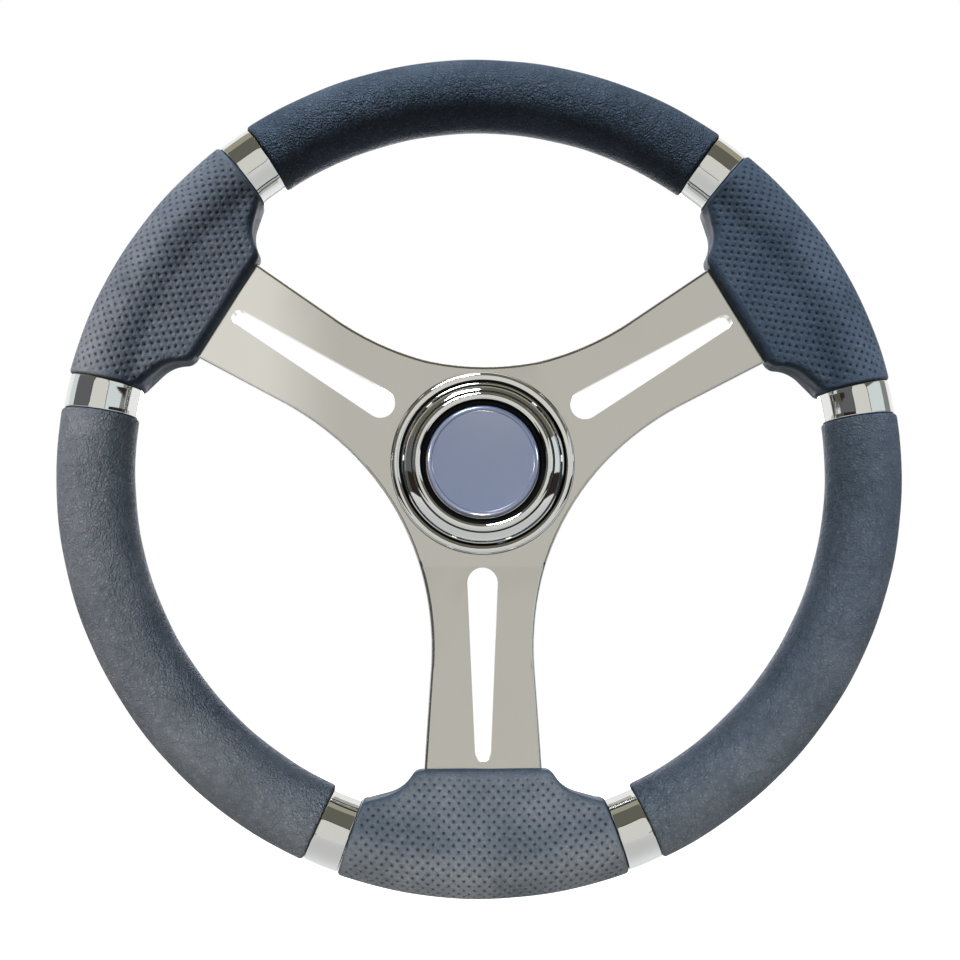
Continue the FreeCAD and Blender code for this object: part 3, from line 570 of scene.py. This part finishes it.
# Painted shade: the dimples and the wall over the wing's edge are darkened in colour.
dimmed = add(tree, "ShaderNodeMath", {"operation": "MULTIPLY_ADD"},
             {0: sunk.outputs[0], 1: DIMPLE_SHADE, 2: painted_wall_shade.outputs[0]})
shade = add(tree, "ShaderNodeMix", {"data_type": "RGBA"},
            {0: dimmed.outputs[0], 6: colour, 7: linear(PAINTED_LEATHER_SHADE)})
# Each hole is painted dark, as the shade inside it.
shade = add(tree, "ShaderNodeMix", {"data_type": "RGBA"},
            {0: open_hole.outputs[0], 6: shade.outputs[2], 7: linear(HOLE_PAINTED_SHADE)})
show(tree, leather_shader(tree, shade.outputs[2], height, shine, depth=0.08))
print("holes every", HOLE_STEP[0], "mm in rows", round(HOLE_STEP[1] / 2, 1), "mm apart")

# %% [markdown]
# ## The three grips
#
# A grip is a leather sleeve round the rim's rod. Its section along the rim is carried round the rod's
# line: straight walls, ends rolled over where the leather tucks in against the collars, and the hole
# for the rod. Leather pulled over foam is never quite even, so slow waves of a tenth of a millimetre
# run over it. The sleeve closes at the back, where its two edges meet in a fine butt seam.

# %% Grips
AROUND_STEPS = 128
ALONG_STEPS = 160
GRIP_END_ROUNDING = 1.4
SEAM_AROUND = 270.0
SEAM_DEPTH = 0.45
SEAM_WIDTH = 0.5
SEAM_ZONE = 6
WAVE = 0.1


def with_seam_columns(around):
    """Adds finely spaced columns round the seam to a set of turns round the core line."""
    near_seam = SEAM_AROUND + np.linspace(-SEAM_ZONE, SEAM_ZONE, 25)
    return np.unique(np.concatenate([around, near_seam]))


def leather_relief(turn, around):
    """Slow waves over the leather, less the seam: a dent of depth * exp(-(arc / width) ** 2)."""
    t, a = np.radians(turn), np.radians(around)
    waves = np.sin(3 * a + 11 * t) + np.sin(2 * a - 23 * t + 1.0) + np.sin(5 * a + 37 * t + 2.0)
    arc_mm = np.radians(around - SEAM_AROUND) * GRIP_RADIUS
    return WAVE / 3 * waves - SEAM_DEPTH * np.exp(-(arc_mm / SEAM_WIDTH) ** 2)


def sleeve(turn, profile, around, relief=0.0):
    """Carries a section (along, out) round the rim's core line: the first parameter runs along the
    section, the second round the core. The relief is added to the outside only."""
    along = np.degrees(profile[:, :1] / RIM_RADIUS)
    out = profile[:, 1:]
    outside = (out > ROD_RADIUS + 1).astype(float)
    return on_rim(turn + along, around[None, :], out + relief * outside)


grip_section = sleeve_profile(GRIP_LENGTH, GRIP_RADIUS, ROD_RADIUS, GRIP_END_ROUNDING, ALONG_STEPS)
grip_around = with_seam_columns(np.linspace(0, 360, AROUND_STEPS + 1))
for name, turn in GRIP_TURNS.items():
    along_turn = turn + np.degrees(grip_section[:, :1] / RIM_RADIUS)
    relief = leather_relief(along_turn, grip_around[None, :])
    points = sleeve(turn, grip_section, grip_around, relief)
    piece = new_piece(f"grip_{name}", points, grained_leather, "wheel", [f"rim_grip_{name}"])
print(len(GRIP_TURNS), "grips of", points.shape[0] * points.shape[1], "points")

# %% [markdown]
# ## The three pads
#
# A pad is a grip with a wing: its leather runs from the rim down over the end of the spoke. Seen in
# a section across the rim, it is the union of the rim's circle and a flat slab with rounded edges.
# The slab lies on the spoke's slope, so it leans away from the driver towards the hub, and the
# padding under its leather gets thinner towards its edge, where it is pulled down. Both shapes
# can be given as a distance from the rod in each direction, so the union is simply the larger of the
# two distances, and a soft maximum leaves the gentle valley between crest and wing. The slab's reach
# changes along the pad, as its outline has a straight edge, a round shoulder and a scoop for the
# thumb. The outline is drawn in the sloping plane and laid down on the wheel's plane.

# %% The pad's outline
SLOPE_TANGENT = 20.5 / 117.95
SLOPE_COSINE = math.cos(math.atan(SLOPE_TANGENT))
PAD_EDGE = 127.05
PAD_EDGE_HALF = 24.5
SHOULDER_RADIUS = 5.0
SHOULDER_TURN = 58.5
SCOOP_RADIUS = 15.33
SCOOP_TURN = 15.0
SCOOP_RUN = 10.6
EDGE_STEPS = 40


def arc(centre, radius, first, last, steps):
    """Points on a circle, between two angles in degrees."""
    a = np.radians(np.linspace(first, last, steps))
    return np.stack([centre[0] + radius * np.cos(a), centre[1] + radius * np.sin(a)], axis=-1)


straight = np.linspace(0, PAD_EDGE_HALF, EDGE_STEPS)
edge = np.stack([np.full_like(straight, PAD_EDGE), straight], axis=-1)
shoulder_centre = (PAD_EDGE + SHOULDER_RADIUS, PAD_EDGE_HALF)
shoulder = arc(shoulder_centre, SHOULDER_RADIUS, 180, 180 - SHOULDER_TURN, 12)
away = np.radians(-SHOULDER_TURN)
scoop_centre = shoulder[-1] - SCOOP_RADIUS * np.array([np.cos(away), np.sin(away)])
scoop = arc(scoop_centre, SCOOP_RADIUS, -SHOULDER_TURN, -SCOOP_TURN, 16)
leave = np.radians(90 - SCOOP_TURN)
way = np.array([np.cos(leave), np.sin(leave)])
run = scoop[-1] + 2 * SCOOP_RUN * way * np.linspace(0, 1, 12)[:, None]
half_outline = np.concatenate([edge, shoulder[1:], scoop[1:], run[1:]])
half_outline[:, 0] = RIM_RADIUS - (RIM_RADIUS - half_outline[:, 0]) * SLOPE_COSINE
outline_turn = np.degrees(np.arctan2(half_outline[:, 1], half_outline[:, 0]))
outline_reach = np.hypot(half_outline[:, 0], half_outline[:, 1])
edge_turn = outline_turn[EDGE_STEPS - 1]
print("the straight edge ends", round(edge_turn, 1), "degrees from the spoke's middle")

# %% The pad's surface
WING_LEVEL = 14.1
WING_TAPER = 0.2
WING_ROUNDING = {"front": 4.5, "back": 6.0}
EDGE_GIRTH = 7.5
VALLEY_SOFTNESS = 2.0
END_ROLL = 1.3
ROW_BEND = 0.5
# The rod's hole is smooth and hidden, so every tenth row of the skin is enough for it.
HOLE_ROW_STEP = 10
# Where a zone of the sheet fades in: millimetres from its edges, or degrees from the hub's side
PUNCHED_FROM_EDGE = (1.0, 4.0)
PUNCHED_FROM_END = (1.5, 3.0)
PUNCHED_AROUND = (168, 150)
# Where the wall's painted shade fades in, past the wing's edge
WALL_SHADE_FROM_EDGE = (-2.8, -5.5)
WALL_SHADE_AROUND = (100, 90)


def slab_distance(direction, reach, level, slant):
    """How far the rounded slab extends from the rod in a direction, in radians from the slab's plane.

    The slab is a wedge with round corners. Where its outline runs slantwise, lengths across it
    shrink by the cosine of the slant. Away from the corner, the distance is
    level / (sin + taper * cos) or reach / cos. In the corner it is the far root of the circle's
    equation along the ray. Beyond the rod, where there is no slab, it dies away as level * sin ** 3.
    """
    across = np.abs(np.cos(direction)) * np.cos(slant)
    up = np.abs(np.sin(direction))
    wall = reach * np.cos(slant)
    taper = WING_TAPER / np.cos(slant)
    lean = np.sqrt(1 + taper ** 2)
    rounding = np.where(np.sin(direction) > 0, WING_ROUNDING["front"], WING_ROUNDING["back"])
    centre = wall - rounding
    q = np.stack(np.broadcast_arrays(centre, level - taper * centre - rounding * lean), axis=-1)
    d = np.stack(np.broadcast_arrays(across, up), axis=-1)
    along, size = (d * q).sum(-1), (d * d).sum(-1)
    root = along ** 2 - size * ((q * q).sum(-1) - rounding ** 2)
    round_part = (along + np.sqrt(np.maximum(root, 0))) / size
    flat_part = np.minimum(level / (up + taper * across), wall / np.maximum(across, 1e-6))
    begins = centre + rounding * taper / lean
    in_corner = (flat_part * across > begins) & (flat_part * up > q[..., 1]) & (root > 0)
    distance = np.where(in_corner, round_part, flat_part)
    return np.where(np.cos(direction) > 0, distance, level * up ** 3)


def soft_maximum(a, b, softness):
    """The larger of a and b, lifted by up to softness / 4 where they differ by less than softness."""
    h = np.maximum(softness - np.abs(a - b), 0) / softness
    return np.maximum(a, b) + h * h * softness / 4


def fade(value, first, last):
    """0 before first, 1 after last, and a straight line between them. First may be the larger."""
    return np.clip((value - first) / (last - first), 0, 1)


def pad_points(turn):
    """The pad's surface: rows along the rim, columns round the rod from the side away from the hub.

    Beside the spoke's middle, the sloping plane passes behind the rim's core line by R (1 - cos t)
    times its tangent, so the slab's level is less on the driver's side and more on the other.

    With the points come two maps. In the sheet's map, the first value is the distance sideways from
    the spoke's middle, and the second is the girth counted from the rim's crest, less a part of the
    crest's own bend, so that rows of holes bend less than the rim.
    """
    roll = PAD_LENGTH / 2 - END_ROLL * (1 - np.cos(np.radians(np.linspace(0, 90, 7))))
    along = np.concatenate([roll, np.linspace(PAD_LENGTH / 2 - END_ROLL, 0, 90)[1:]])
    along = np.concatenate([-along, along[::-1][1:]])
    angle = np.degrees(along / RIM_RADIUS)[:, None]
    reach_in = np.interp(np.abs(angle), outline_turn, outline_reach)
    slope = np.gradient(reach_in[:, 0], np.radians(angle[:, 0]))[:, None]
    slant = np.arctan2(slope, reach_in)
    side = np.concatenate([np.linspace(0, 60, 121), np.linspace(60, 180, 61)[1:]])
    around = with_seam_columns(180 + np.concatenate([-side[::-1], side[1:]]))[None, :]
    lean = np.arctan(SLOPE_TANGENT * np.cos(np.radians(angle)))
    sink = RIM_RADIUS * (1 - np.cos(np.radians(angle))) * SLOPE_TANGENT
    from_slab = np.radians(180 - around) + lean
    level = (WING_LEVEL / SLOPE_COSINE - np.sign(np.sin(from_slab)) * sink) * np.cos(lean)
    reach = (RIM_RADIUS - reach_in) / np.cos(lean) + sink * np.sin(lean)
    slab = slab_distance(from_slab, reach, level, slant)
    distance = soft_maximum(np.full_like(slab, GRIP_RADIUS), slab, VALLEY_SOFTNESS)
    to_end = np.clip(PAD_LENGTH / 2 - np.abs(along), 0, END_ROLL)[:, None]
    distance = distance - (END_ROLL - np.sqrt(END_ROLL ** 2 - (END_ROLL - to_end) ** 2))
    distance = distance + leather_relief(turn + angle, around)
    skin = on_rim(turn + angle, around, distance)
    step = np.linalg.norm(np.diff(skin, axis=1), axis=-1)
    girth = np.concatenate([np.zeros((len(along), 1)), np.cumsum(step, axis=1)], axis=1)
    hub_side = np.argmin(np.abs(from_slab[len(along) // 2]))
    from_wall = np.abs(girth - girth[:, hub_side:hub_side + 1])
    crest = np.argmin(np.abs(around[0] - 90))
    bend = ROW_BEND * RIM_RADIUS * (1 - np.cos(np.radians(angle)))
    sideways = (RIM_RADIUS + distance * np.cos(np.radians(around))) * np.sin(np.radians(angle))
    sheet = np.stack([sideways, from_wall - from_wall[:, crest:crest + 1] - bend], axis=-1)
    from_edge = (from_wall - EDGE_GIRTH) * np.cos(slant)
    punched = fade(from_edge, *PUNCHED_FROM_EDGE) * fade(np.abs(180 - around), *PUNCHED_AROUND)
    punched = punched * fade(PAD_LENGTH / 2 - np.abs(along), *PUNCHED_FROM_END)[:, None]
    # The wall past the wing's edge gets painted shade.
    painted_wall_shade = fade(from_edge, *WALL_SHADE_FROM_EDGE) * fade(np.abs(180 - around), *WALL_SHADE_AROUND)
    hole = on_rim(turn + angle, around, np.full_like(distance, ROD_RADIUS))
    points = np.concatenate([skin, hole[::-HOLE_ROW_STEP], skin[:1]])
    maps = {"leather_mm": sheet, "punched_and_wall_shaded": np.stack([punched, painted_wall_shade], axis=-1)}
    return points, {name: np.concatenate([pairs, pairs[::-HOLE_ROW_STEP], pairs[:1]])
                    for name, pairs in maps.items()}


for name, turn in SPOKE_TURNS.items():
    points, maps = pad_points(turn)
    piece = new_piece(f"pad_{name}", points, perforated_leather, "wheel", [f"spoke_pad_{name}"],
                      maps=maps)
print(len(SPOKE_TURNS), "pads of", points.shape[0] * points.shape[1], "points")

# %% [markdown]
# ## Chrome
#
# Chromium is plated in a layer thinner than a hair over polished nickel. It has almost no texture:
# what the eye reads is a sharp mirror of an almost neutral grey, with a soft ripple where the metal
# below was not quite even. In the bezel's grooves and at its outer edge, thin rings are painted
# dark, as painted shade.

# %% Chrome plating
CHROMIUM = "#e4e5e2"
CHROME_RIPPLE = 7
CHROME_HAZE = (0.03, 0.07)
# Painted shade: the dark colour of the rings in the bezel's grooves.
GROOVE_PAINTED_SHADE = "#1a1916"
BEZEL_GROOVES = [(36.3, 0.65), (31.05, 0.3), (40.4, 0.3)]


def chrome(name, grooves=()):
    """A rippled mirror. Each groove is a ring (distance from the wheel's axis, half width) in mm,
    painted dark as painted shade.
    """
    material, tree = new_material(name)
    place = add(tree, "ShaderNodeTexCoord").outputs["Object"]
    ripple = scaled_noise(tree, place, CHROME_RIPPLE, 1).outputs["Fac"]
    bump = add(tree, "ShaderNodeBump", inputs={"Height": ripple, "Distance": 0.05 * MM})
    haze = add(tree, "ShaderNodeMapRange",
               inputs={"Value": ripple, "To Min": CHROME_HAZE[0], "To Max": CHROME_HAZE[1]})
    flat = add(tree, "ShaderNodeVectorMath", {"operation": "MULTIPLY"}, {0: place, 1: (1, 0, 1)})
    out = add(tree, "ShaderNodeVectorMath", {"operation": "LENGTH"}, {0: flat.outputs[0]})
    colour = linear(CHROMIUM)
    # Each ring is painted dark, as painted shade.
    for ring, half_width in grooves:
        off = add(tree, "ShaderNodeMath", {"operation": "SUBTRACT"},
                  {0: out.outputs["Value"], 1: ring * MM})
        off = add(tree, "ShaderNodeMath", {"operation": "ABSOLUTE"}, {0: off.outputs[0]})
        out_of_groove_shade = add(tree, "ShaderNodeMapRange", SMOOTHLY,
                    {"Value": off.outputs[0], "From Min": 0.6 * half_width * MM,
                     "From Max": half_width * MM})
        colour = add(tree, "ShaderNodeMix", {"data_type": "RGBA"},
                     {0: out_of_groove_shade.outputs[0], 6: linear(GROOVE_PAINTED_SHADE), 7: colour}).outputs[2]
    show(tree, add(tree, "ShaderNodeBsdfPrincipled", inputs={
        "Base Color": colour, "Metallic": 1.0, "Roughness": haze.outputs[0],
        "Normal": bump.outputs[0]}))
    return material


chrome_plating = chrome("chrome_plating")
bezel_chrome = chrome("bezel_chrome", BEZEL_GROOVES)
print("chrome plating, and a second one with", len(BEZEL_GROOVES), "dark grooves")

# %% [markdown]
# ## The collars
#
# Between each pad and grip sits a chromed collar. A closed ring could not be slid onto a closed rim,
# so a collar is two half shells that meet at the rim's plane. Each half is the sleeve's section
# carried through half a turn, with its two cut faces closed by points drawn in to the middle of the
# section.

# %% Collar halves
COLLAR_RADIUS = 14.1
COLLAR_ROUNDING = 0.5
PARTING_GAP = 0.3  # degrees round the rod
collar_section = sleeve_profile(COLLAR_LENGTH, COLLAR_RADIUS, ROD_RADIUS, COLLAR_ROUNDING, 8)
collar_heart = np.broadcast_to(collar_section[:-1].mean(axis=0), collar_section.shape)


def half_collar(turn, first):
    """The section carried from one parting face to the other, with both ends drawn to a point."""
    around = np.linspace(first + PARTING_GAP, first + 180 - PARTING_GAP, 97)
    shell = sleeve(turn, collar_section, around)
    start = sleeve(turn, collar_heart, around[:1])
    end = sleeve(turn, collar_heart, around[-1:])
    return np.concatenate([start, shell, end], axis=1)


for spoke, spoke_turn in SPOKE_TURNS.items():
    for end, sign in (("a", 1), ("b", -1)):
        for side, first in (("front", 0), ("back", 180)):
            node = f"collar_{spoke}_{end}_{side}"
            points = half_collar(spoke_turn + sign * COLLAR_PLACE, first)
            new_piece(f"shell_{spoke}_{end}_{side}", points, chrome_plating, "wheel", [node],
                      sharp=40)
print("twelve collar halves of", points.shape[0] * points.shape[1], "points")

# %% [markdown]
# ## The hub
#
# The bezel, the rubber seal and the cap are round parts, turned on a lathe or moulded in a turned
# mould. Their shape is a profile, given as distance from the axis and height above the plate, and
# carried round the wheel's axis. Arcs between the profile's points are divided finely, since a
# mirror shows every flat.

# %% Round parts
PLATE_FRONT = -44.0
TURNING_STEPS = 288


def bulge(start, end, radius, steps=16):
    """Points on an arc from start to end. Its middle is pushed out to the left of the way there by
    radius - sqrt(radius ** 2 - (chord / 2) ** 2). A negative radius pushes it to the right."""
    start, end = np.array(start, float), np.array(end, float)
    chord = np.linalg.norm(end - start)
    half_angle = math.asin(chord / 2 / abs(radius))
    t = np.linspace(-half_angle, half_angle, steps)
    along = np.sin(t) * abs(radius)
    rise = (np.cos(t) - math.cos(half_angle)) * abs(radius) * np.sign(radius)
    way = (end - start) / chord
    left = np.array([-way[1], way[0]])
    return (start + end) / 2 + along[:, None] * way + rise[:, None] * left


def turned(profile):
    """x and z are the distance times cos and sin of the turn, y the plate's front less the height."""
    a = np.linspace(0, 2 * np.pi, TURNING_STEPS + 1)[None, :]
    out, height = profile[:, :1], profile[:, 1:]
    return np.stack([out * np.cos(a), PLATE_FRONT - height + 0 * a, out * np.sin(a)], axis=-1)


def closed(*parts):
    """Joins points and arcs to one closed profile."""
    joined = np.concatenate([np.atleast_2d(part) for part in parts]).astype(float)
    return np.concatenate([joined, joined[:1]])


bezel_profile = closed(
    (24.9, 0), (24.9, 1.8), (27.5, 1.8),
    bulge((27.5, 6.3), (30.8, 5.9), 2.4),
    bulge((31.3, 6.4), (36.0, 3.0), 12.0, 24),
    bulge((38.3, 4.0), (40.5, 1.8), 2.2),
    (40.5, 0))
new_piece("bezel_ring", turned(bezel_profile), bezel_chrome, "wheel", ["hub_bezel"],
          sharp=30)
print("bezel profile of", len(bezel_profile), "points")

# %% [markdown]
# ### Seal and cap
#
# The seal is black rubber, matt and slightly dusty, and its black is made darker than rubber to paint
# the shade of the deep gap round the cap. The cap is moulded and sprayed with a satin lacquer of a
# greyed blue: a smooth colour coat with a clear coat over it, which gives the soft light patches and
# the bright line round its rolled edge.

# %% Rubber and lacquer
# Partly the rubber's own black and partly painted shade of the gap round the cap.
RUBBER_AND_GAP_SHADE = "#060708"
DUST = 1.5
LACQUER = ("#3f4c66", "#445068")
LACQUER_CLOUD = 14
LACQUER_PEEL = 0.8

seal_rubber, tree = new_material("moulded_rubber")
place = add(tree, "ShaderNodeTexCoord").outputs["Object"]
dust = scaled_noise(tree, place, DUST, 3).outputs["Fac"]
rough = add(tree, "ShaderNodeMapRange", inputs={"Value": dust, "To Min": 0.55, "To Max": 0.8})
bump = add(tree, "ShaderNodeBump", inputs={"Height": dust, "Distance": 0.02 * MM})
show(tree, add(tree, "ShaderNodeBsdfPrincipled", inputs={
    "Base Color": linear(RUBBER_AND_GAP_SHADE), "Roughness": rough.outputs[0], "Specular IOR Level": 0.2,
    "Normal": bump.outputs[0]}))

cap_lacquer, tree = new_material("satin_lacquer")
place = add(tree, "ShaderNodeTexCoord").outputs["Object"]
cloud = scaled_noise(tree, place, LACQUER_CLOUD, 2).outputs["Fac"]
colour = add(tree, "ShaderNodeMix", {"data_type": "RGBA"},
             {0: cloud, 6: linear(LACQUER[0]), 7: linear(LACQUER[1])})
peel = scaled_noise(tree, place, LACQUER_PEEL, 2).outputs["Fac"]
bump = add(tree, "ShaderNodeBump", inputs={"Height": peel, "Distance": 0.006 * MM})
show(tree, add(tree, "ShaderNodeBsdfPrincipled", inputs={
    "Base Color": colour.outputs[2], "Roughness": 0.38, "Metallic": 0.25, "Coat Weight": 1.0,
    "Coat IOR": 1.6, "Coat Roughness": 0.06, "Normal": bump.outputs[0]}))
print("rubber and lacquer")

# %% Seal and cap
seal_profile = closed(
    (24.9, 1.8), (27.5, 1.8),
    bulge((27.5, 3.1), (26.2, 4.4), -1.3),
    bulge((26.2, 4.4), (24.9, 3.1), -1.3))
new_piece("seal_ring", turned(seal_profile), seal_rubber, "wheel", ["cap_seal"],
          sharp=40)
cap_profile = closed(
    (0, 4.1), (22.6, 4.1), (22.6, 0), (24.6, 0),
    bulge((24.6, 5.0), (23.0, 6.6), -1.6),
    bulge((22.5, 6.6), (22.0, 6.1), 0.6, 6),
    (0, 6.1))
new_piece("cap_shell", turned(cap_profile), cap_lacquer, "cap", ["centre_cap"], sharp=35)
print("seal and cap")

# %% [markdown]
# ## Steel
#
# The spokes are stainless steel sheet, cut, bent and polished on a buffing wheel. Polishing leaves a
# warm light mirror that is never quite even: faint clouds where the wheel pressed less, and slow
# waves in the sheet that bend what it mirrors. The left spoke is the brightest, by a painted
# highlight in its colour. The boss, screws and rod were turned or drawn, so rings round the wheel's
# axis run over them and the mirror is duller.

# %% Polished sheet
SHEET = ("#c6c4be", "#d3d1cb")
# Painted highlight: the near white that the left spoke's colour goes towards.
PAINTED_HIGHLIGHT = "#f0efe9"
BRIGHT_FROM, BRIGHT_TO = -0.10, -0.06  # metres towards +X
SHEET_CLOUD = 38
SHEET_WAVE = 60
SHEET_ROUGHNESS = (0.10, 0.22)

polished_stainless, tree = new_material("polished_stainless")
place = add(tree, "ShaderNodeTexCoord").outputs["Object"]
cloud = scaled_noise(tree, place, SHEET_CLOUD, 3, Distortion=0.6).outputs["Fac"]
wave = scaled_noise(tree, place, SHEET_WAVE, 1).outputs["Fac"]
rough = add(tree, "ShaderNodeMapRange", inputs={
    "Value": cloud, "From Min": 0.35, "From Max": 0.65,
    "To Min": SHEET_ROUGHNESS[0], "To Max": SHEET_ROUGHNESS[1]})
colour = add(tree, "ShaderNodeMix", {"data_type": "RGBA"},
             {0: cloud, 6: linear(SHEET[0]), 7: linear(SHEET[1])})
sideways = add(tree, "ShaderNodeSeparateXYZ", inputs={0: place}).outputs["X"]
# Painted highlight: towards -X the sheet's colour goes towards near white.
painted_highlight_share = add(tree, "ShaderNodeMapRange", SMOOTHLY,
             {"Value": sideways, "From Min": BRIGHT_FROM, "From Max": BRIGHT_TO,
              "To Min": 1.0, "To Max": 0.0})
colour = add(tree, "ShaderNodeMix", {"data_type": "RGBA"},
             {0: painted_highlight_share.outputs[0], 6: colour.outputs[2], 7: linear(PAINTED_HIGHLIGHT)})
bump = add(tree, "ShaderNodeBump", inputs={"Height": wave, "Distance": 0.5 * MM})
show(tree, add(tree, "ShaderNodeBsdfPrincipled", inputs={
    "Base Color": colour.outputs[2], "Metallic": 1.0, "Roughness": rough.outputs[0],
    "Normal": bump.outputs[0]}))
print("polished sheet")

# %% Turned metal
GRIME = 9
RADIANS_PER_UNIT = 20  # how far the wave node's sine moves on over a length of one


def turned_metal(name, hex_colour, roughness, radian):
    """Rings of a turning tool: a sine of the distance from the wheel's axis moves the bump. It moves
    on by one radian every `radian` millimetres."""
    material, tree = new_material(name)
    place = add(tree, "ShaderNodeTexCoord").outputs["Object"]
    rings = add(tree, "ShaderNodeTexWave",
                {"wave_type": "RINGS", "rings_direction": "Y", "wave_profile": "SIN"},
                {"Vector": place, "Scale": 1 / (radian * MM) / RADIANS_PER_UNIT, "Distortion": 0.4})
    grime = scaled_noise(tree, place, GRIME, 4).outputs["Fac"]
    rough = add(tree, "ShaderNodeMapRange", inputs={
        "Value": grime, "To Min": roughness * 0.8, "To Max": roughness * 1.3})
    bump = add(tree, "ShaderNodeBump",
               inputs={"Height": rings.outputs["Fac"], "Distance": 0.012 * MM})
    show(tree, add(tree, "ShaderNodeBsdfPrincipled", inputs={
        "Base Color": linear(hex_colour), "Metallic": 1.0, "Roughness": rough.outputs[0],
        "Normal": bump.outputs[0]}))
    return material


finishes = {
    "spoke_plate": polished_stainless,
    "hub_boss": turned_metal("turned_stainless", "#c4c2bd", 0.28, 0.8),
    "bezel_screws": turned_metal("screw_steel", "#b9b8b4", 0.35, 0.6),
    "rim_rod": turned_metal("drawn_steel", "#8a8a88", 0.45, 0.5),
}
for name, material in finishes.items():
    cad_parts[name].material_slots[0].material = material
print("finished", ", ".join(finishes))

# %% [markdown]
# ## Whose light it is
#
# The low, left and right lamps are each there for the leather of their own part of the wheel, and for
# the cap. The top lamp lights all the leather and the cap, and puts white arcs on the bezel and the
# wheel's shadow on the floor. Light linking says so: a lamp with a collection of receivers lights
# nothing else, so none of these four glares in the collars. The back lamp has no such collection.

# %% Light linking
LEATHER_PIECES = [f"grip_{name}" for name in GRIP_TURNS] + [f"pad_{name}" for name in SPOKE_TURNS]
LIT_BY = {
    "low_lamp": ["pad_bottom", "grip_lower_left", "grip_lower_right", "cap_shell"],
    "left_lamp": ["pad_left", "grip_lower_left", "cap_shell"],
    "right_lamp": ["pad_right", "grip_lower_right", "cap_shell"],
    "top_lamp": LEATHER_PIECES + ["cap_shell", "bezel_ring", "studio_floor"],
}
for lamp_name, names in LIT_BY.items():
    receivers = bpy.data.collections.new(lamp_name + "_receivers")
    for name in names:
        receivers.objects.link(bpy.data.objects[name])
    lamps[lamp_name].light_linking.receiver_collection = receivers
    print(lamp_name, "lights", ", ".join(names))

# %% [markdown]
# ## The film curve
#
# The picture is shown as the light falls, with no film curve.

# %% Film curve
bpy.context.scene.view_settings.view_transform = "Standard"
